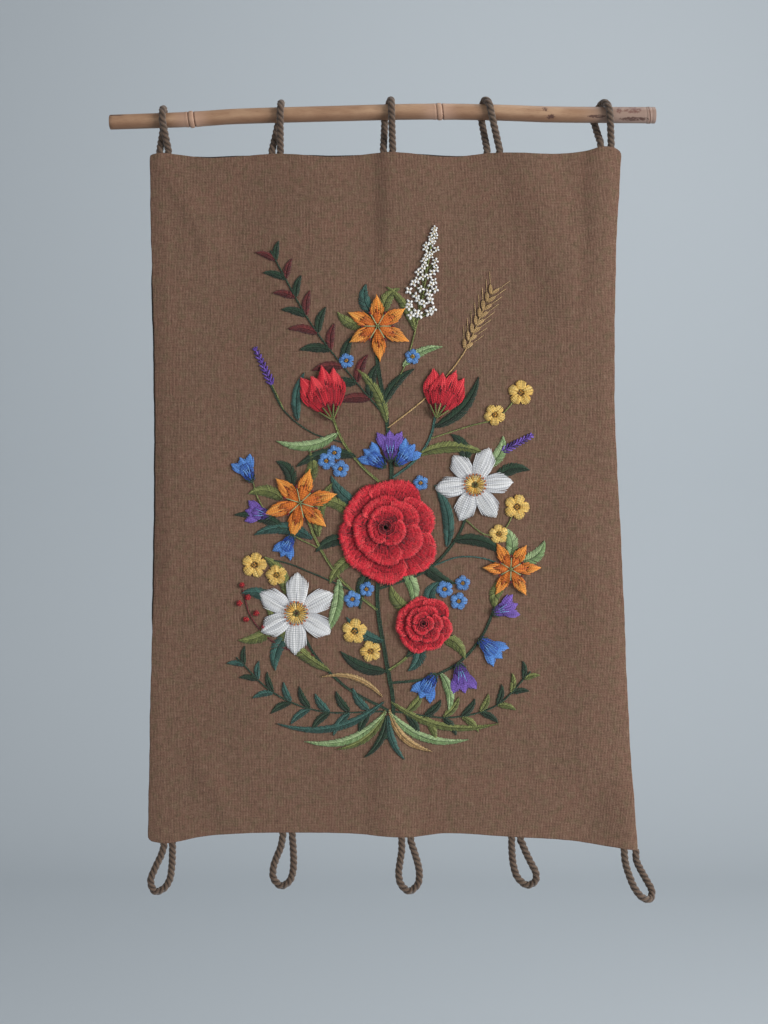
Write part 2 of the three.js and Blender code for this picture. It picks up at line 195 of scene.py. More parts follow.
class Value:
    """A number, colour or vector on its way between the nodes of one material."""

    def __init__(self, tree, socket):
        self.tree = tree
        self.socket = socket

    def node(self, kind, settings, sockets, output=0):
        """Adds a node, sets it, fills its sockets and gives one of its outputs."""
        made = self.tree.nodes.new(kind)
        for name, value in settings.items():
            setattr(made, name, value)
        for name, value in sockets.items():
            if isinstance(value, Value):
                self.tree.links.new(value.socket, made.inputs[name])
            else:
                made.inputs[name].default_value = value
        return Value(self.tree, made.outputs[output])

    def math(self, operation, *terms):
        return self.node("ShaderNodeMath", {"operation": operation}, dict(enumerate(terms)))

    def __add__(self, other):
        return self.math("ADD", self, other)

    def __mul__(self, other):
        return self.math("MULTIPLY", self, other)

    def __sub__(self, other):
        return self.math("SUBTRACT", self, other)

    def __rsub__(self, other):
        return self.math("SUBTRACT", other, self)

    def __truediv__(self, other):
        return self.math("DIVIDE", self, other)

    def __rtruediv__(self, other):
        return self.math("DIVIDE", other, self)

    __radd__ = __add__
    __rmul__ = __mul__

    def axis(self, index):
        """One axis of a vector: 0 is x, 1 is y and 2 is z."""
        return self.node("ShaderNodeSeparateXYZ", {}, {0: self}, index)

    def scaled(self, x, y, z):
        """A vector with its axes stretched."""
        return self.node("ShaderNodeVectorMath", {"operation": "MULTIPLY"}, {0: self, 1: (x, y, z)})

    def noise(self, scale, detail=2.0, roughness=0.5, distortion=0.0):
        """Soft random patches over this place, near 0.5 on average."""
        sockets = {"Vector": self, "Scale": scale, "Detail": detail}
        sockets |= {"Roughness": roughness, "Distortion": distortion}
        return self.node("ShaderNodeTexNoise", {}, sockets)

    def step(self, low, high):
        """0 below low, 1 above high and smooth between; the other way round if low > high."""
        sockets = {"Value": self, "From Min": min(low, high), "From Max": max(low, high)}
        sockets |= {"To Min": float(low > high), "To Max": float(low <= high)}
        return self.node("ShaderNodeMapRange", {"interpolation_type": "SMOOTHSTEP"}, sockets)

    def mix(self, none, full):
        """This share of the way from one colour to another."""
        return self.node(
            "ShaderNodeMix", {"data_type": "RGBA"}, {0: self, 6: none, 7: full}, output=2
        )


def colour(red, green, blue):
    """A colour as a screen shows it, from 0 to 255, turned into the shader's light values."""
    shares = [part / 255 for part in (red, green, blue)]
    return (*[s / 12.92 if s < 0.04045 else ((s + 0.055) / 1.055) ** 2.4 for s in shares], 1.0)


def new_finish(name, roughness, sheen=0.0):
    """A material, and the place on the piece as its shader reads it."""
    material = bpy.data.materials.new(name)
    material.use_nodes = True
    shader = material.node_tree.nodes["Principled BSDF"]
    shader.inputs["Roughness"].default_value = roughness
    shader.inputs["Sheen Weight"].default_value = sheen
    shader.inputs["Specular IOR Level"].default_value = 0.3
    tree = material.node_tree
    place = tree.nodes.new("ShaderNodeTexCoord").outputs["Object"]
    return material, Value(tree, place)


def lay_on(material, base, height=None, depth=0.0, roughness=None):
    """Joins a colour, a bump of that depth in metres and a roughness to the shader."""
    tree = material.node_tree
    shader = tree.nodes["Principled BSDF"]
    tree.links.new(base.socket, shader.inputs["Base Color"])
    if height is not None:
        bump = base.node("ShaderNodeBump", {}, {"Height": height, "Distance": depth, "Strength": 1.0})
        tree.links.new(bump.socket, shader.inputs["Normal"])
    if roughness is not None:
        tree.links.new(roughness.socket, shader.inputs["Roughness"])


def coloured(base, *layers):
    """Lays colours over a base, each by a pattern, where that starts and ends, and its strength."""
    for pattern, low, high, strength, tone in layers:
        base = (pattern.step(low, high) * strength).mix(base, tone)
    return base


BAMBOO_TAN = colour(151, 117, 91)
BAMBOO_PALE = colour(174, 141, 112)
BAMBOO_PINK = colour(172, 138, 119)
BAMBOO_GREY_PINK = colour(141, 119, 108)
BAMBOO_FIBRE_AND_SHADE = colour(112, 80, 60)
BAMBOO_LINE = colour(98, 62, 47)
STAIN_BROWN = colour(72, 46, 40)
STAIN_ROSY = colour(100, 62, 56)
PINK_FROM, PINK_TO = 190, 236
JOINT_LINES = (-2.9, 3.1)
SWOLLEN = 0.5
STAINS = [  # x, z, half its length, half its height, how much of it is broken up, rosy or not
    (161.5, -0.4, 5.0, 3.2, 0.38, 0),
    (167.5, -7.6, 5.6, 2.6, 0.30, 0),
    (213, -7.2, 12.0, 2.0, 0.30, 0),
    (236, -1.0, 4.5, 5.5, 0.38, 1),
    (249, -0.8, 13.0, 5.5, 0.38, 1),
    (251, -9.4, 19.0, 2.0, 0.30, 0),
]
CRACK_HEIGHT, CRACK_WIDTH, CRACK_END = -5.4, 1.3, -257

# Painted shade: each point's depth below the cane's axis is stored on the mesh, and the finish darkens the
# lower side of the cane by it.
spots = np.zeros(len(cane.data.vertices) * 3)
cane.data.vertices.foreach_get("co", spots)
spots_x, spots_z = spots[0::3] / MM, spots[2::3] / MM
below_axis = (rod_height(spots_x) - spots_z) / rod_radius(spots_x)
painted_underside_shade = cane.data.attributes.new("painted_underside_shade", "FLOAT", "POINT")
painted_underside_shade.data.foreach_set("value", below_axis.astype(np.float32))

bamboo, place = new_finish("bamboo", 0.5)
lengthwise = place.scaled(0.06, 1, 1)
fibre = lengthwise.noise(2200, 3.0)
blotches = place.scaled(0.35, 1, 1).noise(70, 3.0)
underside_shade_mask = place.node("ShaderNodeAttribute", {"attribute_name": "painted_underside_shade"}, {}, output=2)
base = coloured(
    BAMBOO_TAN,
    (blotches, 0.35, 0.7, 1, BAMBOO_PALE),
    (fibre, 0.52, 0.72, 0.5, BAMBOO_FIBRE_AND_SHADE),
    # painted shade along the lower side of the cane, in the same brown as the fibres
    (underside_shade_mask, 0.2, 0.95, 0.75, BAMBOO_FIBRE_AND_SHADE),
)
x_mm = place.axis(0) / MM
z_mm = place.axis(2) / MM
front = place.axis(1).step(0.002, -0.002)
leaning = x_mm + z_mm * math.tan(math.radians(JOINT_LEAN))
line_noise = place.noise(900) - 0.5
lines = None
for at, swell in ROD_JOINTS:
    lean = math.tan(math.radians(JOINT_LEAN)) * rod_height(at)
    from_joint = leaning - (at + lean)
    base = coloured(base, (from_joint.math("ABSOLUTE", from_joint), 24, 3, 0.6, BAMBOO_PINK))
    for along in JOINT_LINES if swell > SWOLLEN else (0,):
        off = from_joint - along + line_noise * 1.2
        line = off.math("ABSOLUTE", off).step(0.75, 0.2) * (0.5 if along < 0 else 0.85)
        lines = line if lines is None else lines.math("MAXIMUM", lines, line)
base = coloured(base, (x_mm, PINK_FROM, PINK_TO, 0.85, BAMBOO_GREY_PINK))
base = (lines * 0.8).mix(base, BAMBOO_LINE)
ragged = place.scaled(0.6, 1, 1).noise(620, 3.0, 0.6, 1.2)
for at_x, at_z, half_length, half_height, broken, rosy in STAINS:
    off_x = (x_mm - at_x) / half_length
    off_z = (z_mm - at_z) / half_height
    within = (off_x * off_x + off_z * off_z).step(1.4, 0.1)
    stain = (ragged + within * 0.5).step(0.62 + broken * 0.8, 0.7 + broken * 0.8) * front
    base = (stain * (0.8 if rosy else 0.9)).mix(base, STAIN_ROSY if rosy else STAIN_BROWN)
off = z_mm - CRACK_HEIGHT + line_noise * 2
crack = off.math("ABSOLUTE", off).step(CRACK_WIDTH, 0.2) * x_mm.step(CRACK_END, CRACK_END - 6) * front
base = (crack * 0.8).mix(base, STAIN_BROWN)
lay_on(bamboo, base, fibre * 0.5 + blotches - (lines + crack) * 2, 0.00025, blotches * 0.2 + 0.38)
cane.data.materials.append(bamboo)
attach(cane, "root")
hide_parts("bamboo_rod")

# Front panel. One length of brown plain-weave cloth with its edges turned in, hung from
# five points, so its top edge dips between them and soft folds run down from them.
CLOTH_THICKNESS = 2
LINING_THICKNESS = 1
LAYER_CLEARANCE = 0.4
LAYERS = CLOTH_THICKNESS + LAYER_CLEARANCE + LINING_THICKNESS
PANEL_TOP = -44
PANEL_BOTTOM = -731
CORNER_ROUNDINGS = {"top left": 2.4, "top right": 7.0, "bottom left": 4.6, "bottom right": 1.6}
SIDE_CURL = 1.3
SIDE_CURL_WIDTH = 11
SIDE_EDGES = [  # z, left edge, right edge
    (-44, -233, 239.5),
    (-130, -231.5, 234.5),
    (-220, -228.8, 232.6),
    (-310, -227.5, 232.8),
    (-400, -227.8, 237.2),
    (-490, -229.5, 241.5),
    (-580, -232.2, 245.2),
    (-670, -233.8, 250.5),
    (-731, -235, 255.5),
]
TOP_EDGE = [  # x, z
    (-233, -44),
    (-218, -42.4),
    (-172, -47),
    (-107, -43.3),
    (-50, -46.3),
    (6, -42),
    (67, -46),
    (111, -42.2),
    (172, -43.2),
    (203, -40),
    (222, -35.8),
    (238, -38),
]
BOTTOM_EDGE = [  # x, z
    (-235, -730),
    (-214, -732),
    (-180, -725.5),
    (-136, -722),
    (-40, -722),
    (24, -726),
    (67, -722),
    (134, -726),
    (185, -729),
    (215, -733.5),
    (240, -737),
    (256, -739),
]
FOLDS = [  # crest's top x, z, foot x, z, left flank, right flank, height, length it dies in
    (8.5, -20, 7.5, -110, 18, 74, 3.8, 70),
    (-82, -20, -84, -190, 60, 62, 2.8, 90),
    (129.5, -20, 183.5, -180, 32, 44, 2.6, 60),
    (215.5, -20, 214.5, -175, 18, 22, 2.0, 40),
    (-230, -39, -177, -129, 14, 30, 1.5, 30),
    (-210, -354, -208, -449, 24, 60, 1.9, 60),
    (187, -390, 189, -440, 50, 34, 1.5, 50),
    (209, -426, 210, -641, 48, 40, 2.4, 60),
    (5.5, -640, 7.5, -760, 28, 34, 2.6, 50),
    (247, -690, 249, -770, 44, 16, 3.6, 40),
    (-184, -650, -151, -713, 16, 24, 1.1, 30),
]
SLACK = [  # wavelength across, wavelength down, turn of the wave, height
    (210, 900, 0.4, 0.34),
    (97, 520, 2.1, 0.22),
    (150, -310, 4.4, 0.18),
    (61, 233, 1.3, 0.08),
    (-390, 74, 5.2, 0.10),
]
EDGE_WAVES = [(83, 0.3, 0.15), (37, 1.9, 0.12), (19, 4.0, 0.1)]  # length, turn, height
TOP_LOOPS = [  # x of a top loop's front foot, the rod's front, its crest, its back, the back foot
    (-214.0, -218.7, -218.9, -220.4, -222.4),
    (-102.0, -101.6, -101.3, -104.4, -110.4),
    (10.1, 8.9, 7.9, 2.4, 0.9),
    (117.0, 107.6, 102.2, 99.2, 104.6),
    (228.5, 225.9, 220.4, 212.6, 217.8),
]
HEM_FEET = [(-218.6, -210), (-99.6, -90.2), (19.2, 28.2), (129.2, 138), (241.2, 253)]
BULGE_HEIGHT = 0.8
BULGE_WIDTH = 3.6
BULGE_LENGTH = 7
PANEL_GRID = (132, 190)
HEM_ROUNDING = 0.9
HEM_ROUNDING_SHARE = 0.45
HEM_ROUNDING_STEPS = 3
HEM_SHARP_EDGE = 40

left_edge = curve_through([(z, left) for z, left, _ in SIDE_EDGES])
right_edge = curve_through([(z, right) for z, _, right in SIDE_EDGES])
top_edge = curve_through(TOP_EDGE)
bottom_edge = curve_through(BOTTOM_EDGE)


def cloth_depth(x, z):
    """How far the middle of the layers lies behind the rod's axis, or before it if negative."""
    x, z = np.broadcast_arrays(np.asarray(x, float), np.asarray(z, float))
    raised = np.zeros(x.shape)
    for top_x, top_z, foot_x, foot_z, left, right, height, fade in FOLDS:
        down = np.clip((z - top_z) / (foot_z - top_z), 0, 1)
        off = x - (top_x + (foot_x - top_x) * down)
        share = np.minimum(np.abs(off / np.where(off < 0, left, right)), 1)
        past = np.maximum(np.maximum(z - top_z, foot_z - z), 0)
        raised += height * (1 - share**2) ** 2 * (1 - smooth(past / fade))
    from_side = np.minimum(x - left_edge(z), right_edge(z) - x)
    return SIDE_CURL * (1 - smooth(from_side / SIDE_CURL_WIDTH)) - raised


def slack(x, z):
    """The small unevenness of hung cloth, on top of its folds."""
    turns = 2 * math.pi
    return sum(h * np.sin(turns * (x / across + z / down) + turn) for across, down, turn, h in SLACK)


def seam_bulge(x, z):
    """The small swelling of the cloth over each rope's end, caught between its layers."""
    from_top = (top_edge(x) - z) / BULGE_LENGTH
    from_bottom = (z - bottom_edge(x)) / BULGE_LENGTH
    feet = [(foot_x, from_top) for loop in TOP_LOOPS for foot_x in (loop[0], loop[4])]
    feet += [(foot_x, from_bottom) for pair in HEM_FEET for foot_x in pair]
    raised = 0
    for foot_x, down in feet:
        raised = raised + np.exp(-(((x - foot_x) / BULGE_WIDTH) ** 2) - down * down)
    return BULGE_HEIGHT * raised


def front_depth(x, z):
    """The depth of the panel's front face."""
    return cloth_depth(x, z) + slack(x, z) - seam_bulge(x, z) - LAYERS / 2


def edge_wave(along, shift):
    waves = [h * np.sin(2 * math.pi * along / length + turn + shift) for length, turn, h in EDGE_WAVES]
    return sum(waves)


def round_corners(u, v, width, height):
    """Draws the corners of a unit square in to arcs, each of its own radius."""
    side_x = np.where(u < 0.5, -1, 1)
    side_y = np.where(v < 0.5, -1, 1)
    top_left, top_right, bottom_left, bottom_right = CORNER_ROUNDINGS.values()
    upper = np.where(u < 0.5, top_left, top_right)
    radius = np.where(v < 0.5, upper, np.where(u < 0.5, bottom_left, bottom_right))
    a = 1 - np.minimum(u, 1 - u) * width / radius
    b = 1 - np.minimum(v, 1 - v) * height / radius
    corner = (a > 0) & (b > 0)
    in_a = np.where(corner, a * (1 - np.sqrt(1 - np.clip(b, 0, 1) ** 2 / 2)), 0)
    in_b = np.where(corner, b * (1 - np.sqrt(1 - np.clip(a, 0, 1) ** 2 / 2)), 0)
    return -side_x * in_a * radius, side_y * in_b * radius


def apply_modifier(piece, kind, **settings):
    bpy.ops.object.modifier_add(type=kind)
    modifier = piece.modifiers[-1]
    for name, value in settings.items():
        setattr(modifier, name, value)
    bpy.ops.object.modifier_apply(modifier=modifier.name)


def hung_layer(name, grid, front, thickness, inset=0, out_left=np.zeros_like, out_top=np.zeros_like):
    """One layer of the panel as a grid of points, its edges drawn in or let out."""
    bpy.ops.object.select_all(action="DESELECT")
    bpy.ops.mesh.primitive_grid_add(x_subdivisions=grid[0], y_subdivisions=grid[1], size=1)
    piece = bpy.context.object
    piece.name = name
    flat = np.zeros(len(piece.data.vertices) * 3)
    piece.data.vertices.foreach_get("co", flat)
    u = flat[0::3] + 0.5
    v = 0.5 - flat[1::3]
    nominal = PANEL_TOP + (PANEL_BOTTOM - PANEL_TOP) * v
    left = left_edge(nominal) - out_left(nominal) + edge_wave(nominal, 0)
    right = right_edge(nominal) - inset + edge_wave(nominal, 2)
    x = left + (right - left) * u
    top = top_edge(x) + out_top(x) + edge_wave(x, 1) / 2
    bottom = bottom_edge(x) + inset + edge_wave(x, 3) / 2
    z = top + (bottom - top) * v
    in_x, in_z = round_corners(u, v, right - left, top - bottom)
    x, z = x + in_x, z + in_z
    y = front_depth(x, z) + front
    piece.data.vertices.foreach_set("co", np.column_stack([x, y, z]).ravel() * MM)
    piece.data.update()
    apply_modifier(piece, "SOLIDIFY", thickness=thickness * MM, offset=-1)
    width = min(HEM_ROUNDING, thickness * HEM_ROUNDING_SHARE) * MM
    sharp = math.radians(HEM_SHARP_EDGE)
    apply_modifier(piece, "BEVEL", width=width, segments=HEM_ROUNDING_STEPS, angle_limit=sharp)
    bpy.ops.object.shade_smooth()
    return piece


panel = hung_layer("woven_panel", PANEL_GRID, 0, CLOTH_THICKNESS)

CLOTH_BROWNS = [colour(110, 83, 67), colour(118, 83, 68), colour(102, 85, 63)]
CLOTH_DARK = colour(73, 53, 41)
CLOTH_LIGHT = colour(137, 110, 92)
CLOTH_WIDTH = 478
CLOTH_LENGTH = 690
THREAD_PITCH = 1.5


def woven(name, tones, dark, light, pitch):
    """Plain-weave cloth: warp down the piece, weft across it, uneven threads and slubs."""
    material, place = new_finish(name, 0.92, sheen=0.12)
    flat = place.node("ShaderNodeUVMap", {"uv_map": "UVMap"}, {})
    flat = flat.scaled(CLOTH_WIDTH, CLOTH_LENGTH, 1)
    warp_noise = flat.scaled(1.0, 0.2, 1).noise(0.6, 2.0, 0.7)
    weft_noise = flat.scaled(0.22, 1.0, 1).noise(0.55, 2.0, 0.7)
    long_warp = flat.scaled(1.0, 0.012, 1).noise(0.5, 2.0, 0.7)
    patches = flat.noise(0.03, 4.0, 0.65)
    hue = flat.noise(0.12, 3.0, 0.6)
    speck = flat.noise(0.55, 2.0, 0.7)
    wander = (flat.noise(0.06, 2.0) - 0.5) * 1.4
    turns = 2 * math.pi / pitch
    warp = (flat.axis(0) + wander) * turns
    weft = (flat.axis(1) + wander) * (turns * 0.9)
    over = warp.math("SINE", warp * 0.5) * weft.math("SINE", weft * 0.5)
    threads = warp.math("COSINE", warp) * 0.42 + over * 0.18 + weft.math("COSINE", weft) * 0.25
    base = coloured(
        tones[0],
        (patches, 0.3, 0.7, 0.6, tones[1]),
        (hue, 0.42, 0.7, 0.75, tones[2]),
        (warp_noise, 0.48, 0.74, 0.5, light),
        (warp_noise, 0.5, 0.26, 0.5, dark),
        (weft_noise, 0.5, 0.76, 0.4, light),
        (weft_noise, 0.48, 0.26, 0.45, dark),
        (long_warp, 0.5, 0.25, 0.3, dark),
        (long_warp, 0.55, 0.8, 0.25, light),
        (speck, 0.58, 0.78, 0.4, light),
        (speck, 0.42, 0.22, 0.9, dark),
        # painted shade in the hollows between the threads of the weave
        (threads, 0.1, -0.7, 0.3, dark),
    )
    height = threads * 0.8 + warp_noise * 1.2 + weft_noise * 1.0
    lay_on(material, base, height, 0.0003)
    return material


panel.data.materials.append(
    woven("brown_cloth", CLOTH_BROWNS, CLOTH_DARK, CLOTH_LIGHT, THREAD_PITCH)
)
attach(panel, "root")
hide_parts("front_cloth")

# Lining. Thin dark cloth sewn in behind the panel. It peeps out as a fine dark line along
# the left edge and between the first four rope loops on the top edge.
LINING_SHOWS = 1.5
LINING_INSET = 0.9
LINING_FADE = 50
LINING_GRID = (66, 96)
LEFT_SPANS = [(-545, -130)]
loop_middles = [(loop[0] + loop[4]) / 2 for loop in TOP_LOOPS[:4]]
top_spans = list(zip(loop_middles, loop_middles[1:]))


def lining_out(place, spans):
    """How far the lining stands out past the panel's edge: it peeps out only within the spans."""
    within = sum(smooth((place - a) / LINING_FADE) * smooth((b - place) / LINING_FADE) for a, b in spans)
    return (LINING_SHOWS + LINING_INSET) * within - LINING_INSET


backing = hung_layer(
    "dark_backing",
    LINING_GRID,
    CLOTH_THICKNESS + LAYER_CLEARANCE,
    LINING_THICKNESS,
    LINING_INSET,
    lambda z: lining_out(z, LEFT_SPANS),
    lambda x: lining_out(x, top_spans),
)
LINING_TONES = [colour(32, 27, 26), colour(36, 29, 27), colour(30, 27, 26)]
backing.data.materials.append(
    woven("dark_lining", LINING_TONES, colour(20, 17, 17), colour(48, 41, 38), 0.8)
)
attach(backing, "root")
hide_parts("lining")

# Rope loops. Three-strand laid rope of brown wool, twisted to the left. Five short lengths
# pass over the rod and five hang empty from the hem; both ends of each are caught in a seam.
ROPE_RADIUS = 3.7
ROPE_STRANDS = 3
ROPE_LAY = 16.5
ROPE_GROOVE = 0.34
ROPE_SIDES = 30
ROPE_RING_SPACING = 0.75
ROPE_PRESSED = 0.2
BEDDED_FROM = 0.3
BEARING_REACH = 12.4
SEAM_FLATTENING = 0.4
SEAM_FLATTENED_LENGTH = 9
SEAM_DEPTH = 1.6
SEAM_UPRIGHT = 2.5
WRAP_STEP = math.pi / 8
CLEARANCE = 0.35
BOTTOM_LOOPS = [  # x of the two feet, then the line between them, with y counted from the seam
    (
        (-218.6, -210),
        [
            (-221.2, -0.3, -744),
            (-227.1, -0.8, -756.7),
            (-231.6, -1, -770),
            (-227.2, -0.6, -780.2),
            (-218.3, 0.2, -777.2),
            (-212.9, 0.8, -768.6),
            (-211, 1, -757.8),
            (-210.2, 0.6, -746.5),
        ],
    ),
    (
        (-99.6, -90.2),
        [
            (-101.9, 0.4, -736.5),
            (-106.3, 0.8, -747.4),
            (-109.2, 1, -757.1),
            (-109, 0.8, -767.2),
            (-101.4, 0.2, -774.8),
            (-93.1, -0.5, -770.1),
            (-89.6, -0.8, -760.9),
            (-88.8, -0.6, -750.1),
            (-89.3, -0.3, -736.5),
        ],
    ),
    (
        (19.2, 28.2),
        [
            (19.2, -0.6, -738.7),
            (17.5, -1, -750.1),
            (16.2, -1, -762.5),
            (18.7, -0.6, -773),
            (26.7, 0, -779.6),
            (34.9, 0.6, -773.6),
            (36.9, 1, -764.2),
            (35.9, 1, -755),
            (32.9, 0.6, -744.1),
            (29.8, 0.2, -734.4),
        ],
    ),
    (
        (129.2, 138),
        [
            (129.6, 0.6, -741.9),
            (131.3, 1.2, -755.5),
            (135.5, 1.4, -767.1),
            (144.9, 0.8, -774.2),
            (152.6, -0.2, -770.2),
            (153.4, -1, -762),
            (148.7, -1.2, -752.2),
            (143.3, -0.8, -741.2),
            (139.6, -0.3, -732.2),
        ],
    ),
    (
        (241.2, 253),
        [
            (242, -1.8, -750.3),
            (245.4, -4, -762.4),
            (251.1, -5.4, -775.6),
            (258.4, -5, -784.2),
            (266.6, -1.6, -786.9),
            (269.3, 2.4, -780.2),
            (264.2, 4.6, -769.3),
            (258.4, 4, -758.9),
            (254, 2, -749.2),
        ],
    ),
]


def seam_height(edge, x, side):
    """Where a rope's end stands on the top edge (side 1) or hangs under the bottom one (-1)."""
    reach = edge(x + np.array([-1, -0.5, 0, 0.5, 1]) * ROPE_RADIUS)
    return (reach.max() if side > 0 else reach.min()) + side * CLEARANCE


def top_loop_route(loop):
    """Up from the seam in front of the rod, over it, and down behind it, taut all the way."""
    front_foot, front, crest, back, back_foot = loop
    wrap = rod_plain_radius(crest) + CLEARANCE + ROPE_RADIUS
    axis = rod_height(crest)
    feet = [
        np.array([x, float(cloth_depth(x, PANEL_TOP)), seam_height(top_edge, x, 1)])
        for x in (front_foot, back_foot)
    ]
    raised = [foot + (0, 0, SEAM_UPRIGHT) for foot in feet]
    leaves = []
    for end, side in zip(raised, (-1, 1)):
        away = math.hypot(end[1], axis - end[2])
        lean = math.atan2(side * end[1], axis - end[2])
        leaves.append(lean + math.acos(wrap / away) - math.pi / 2)
    first, last = leaves[0], math.pi - leaves[1]
    count = math.ceil((last - first) / WRAP_STEP)
    shares = np.linspace(0, 1, count + 1)
    across = even_curve([front, crest, back], shares)
    turns = first + (last - first) * shares
    ring = np.column_stack([across, -wrap * np.cos(turns), axis + wrap * np.sin(turns)])
    up = [raised[0] + (ring[0] - raised[0]) * share for share in (1 / 3, 2 / 3)]
    down = [ring[-1] + (raised[1] - ring[-1]) * share for share in (1 / 3, 2 / 3)]
    return np.array([feet[0], raised[0], *up, *ring, *down, raised[1], feet[1]])


def even_curve(values, shares):
    """An even Catmull-Rom curve through three values, read at shares of its length."""
    before, middle, after = values
    slope = (after - before) / 2
    t = np.where(shares < 0.5, shares * 2, shares * 2 - 1)
    start = np.where(shares < 0.5, before, middle)
    end = np.where(shares < 0.5, middle, after)
    leaving = np.where(shares < 0.5, (middle - before) / 2, slope)
    arriving = np.where(shares < 0.5, slope, (after - middle) / 2)
    return (
        start * (2 * t**3 - 3 * t**2 + 1)
        + leaving * (t**3 - 2 * t**2 + t)
        + end * (3 * t**2 - 2 * t**3)
        + arriving * (t**3 - t**2)
    )


def bottom_loop_route(feet, line):
    """Down from the seam, round and up again: the two ends stand upright under the hem."""
    ends = [
        np.array([x, float(cloth_depth(x, PANEL_BOTTOM)), seam_height(bottom_edge, x, -1)]) for x in feet
    ]
    hung = np.array(line, float)
    hung[:, 1] += np.linspace(ends[0][1], ends[1][1], len(line))
    under = [end - (0, 0, SEAM_UPRIGHT) for end in ends]
    return np.array([ends[0], under[0], *hung, under[1], ends[1]])


def curve_along(route, spacing):
    """Points at an even spacing along the centripetal Catmull-Rom curve through a route."""
    route = np.asarray(route, float)
    ends = np.vstack([2 * route[0] - route[1], route, 2 * route[-1] - route[-2]])
    t = np.linspace(0, 1, 40, endpoint=False)[:, None]
    fine = []
    for p0, p1, p2, p3 in zip(ends, ends[1:], ends[2:], ends[3:]):
        d0, d1, d2 = (np.sqrt(np.linalg.norm(b - a)) for a, b in ((p0, p1), (p1, p2), (p2, p3)))
        leaving = ((p1 - p0) / d0 - (p2 - p0) / (d0 + d1) + (p2 - p1) / d1) * d1
        arriving = ((p2 - p1) / d1 - (p3 - p1) / (d1 + d2) + (p3 - p2) / d2) * d1
        fine.append(
            p1 * (2 * t**3 - 3 * t**2 + 1)
            + leaving * (t**3 - 2 * t**2 + t)
            + p2 * (3 * t**2 - 2 * t**3)
            + arriving * (t**3 - t**2)
        )
    fine = np.vstack([*fine, route[-1:]])
    along = np.concatenate([[0], np.cumsum(np.linalg.norm(np.diff(fine, axis=0), axis=1))])
    count = max(2, round(along[-1] / spacing))
    even = np.linspace(0, along[-1], count + 1)
    return np.column_stack([np.interp(even, along, axis) for axis in fine.T]), even


def mesh_piece(name, points, *faces):
    """A piece from points in millimetres and arrays of faces, each with its own corner count."""
    mesh = bpy.data.meshes.new(name)
    mesh.vertices.add(len(points))
    mesh.vertices.foreach_set("co", (np.asarray(points) * MM).astype(np.float32).ravel())
    corners = np.concatenate([group.ravel() for group in faces]).astype(np.int32)
    sizes = np.concatenate([np.full(len(group), group.shape[1]) for group in faces])
    mesh.loops.add(len(corners))
    mesh.loops.foreach_set("vertex_index", corners)
    mesh.polygons.add(len(sizes))
    mesh.polygons.foreach_set("loop_start", (np.cumsum(sizes) - sizes).astype(np.int32))
    mesh.update(calc_edges=True)
    mesh.shade_smooth()
    piece = bpy.data.objects.new(name, mesh)
    bpy.context.scene.collection.objects.link(piece)
    return piece, corners


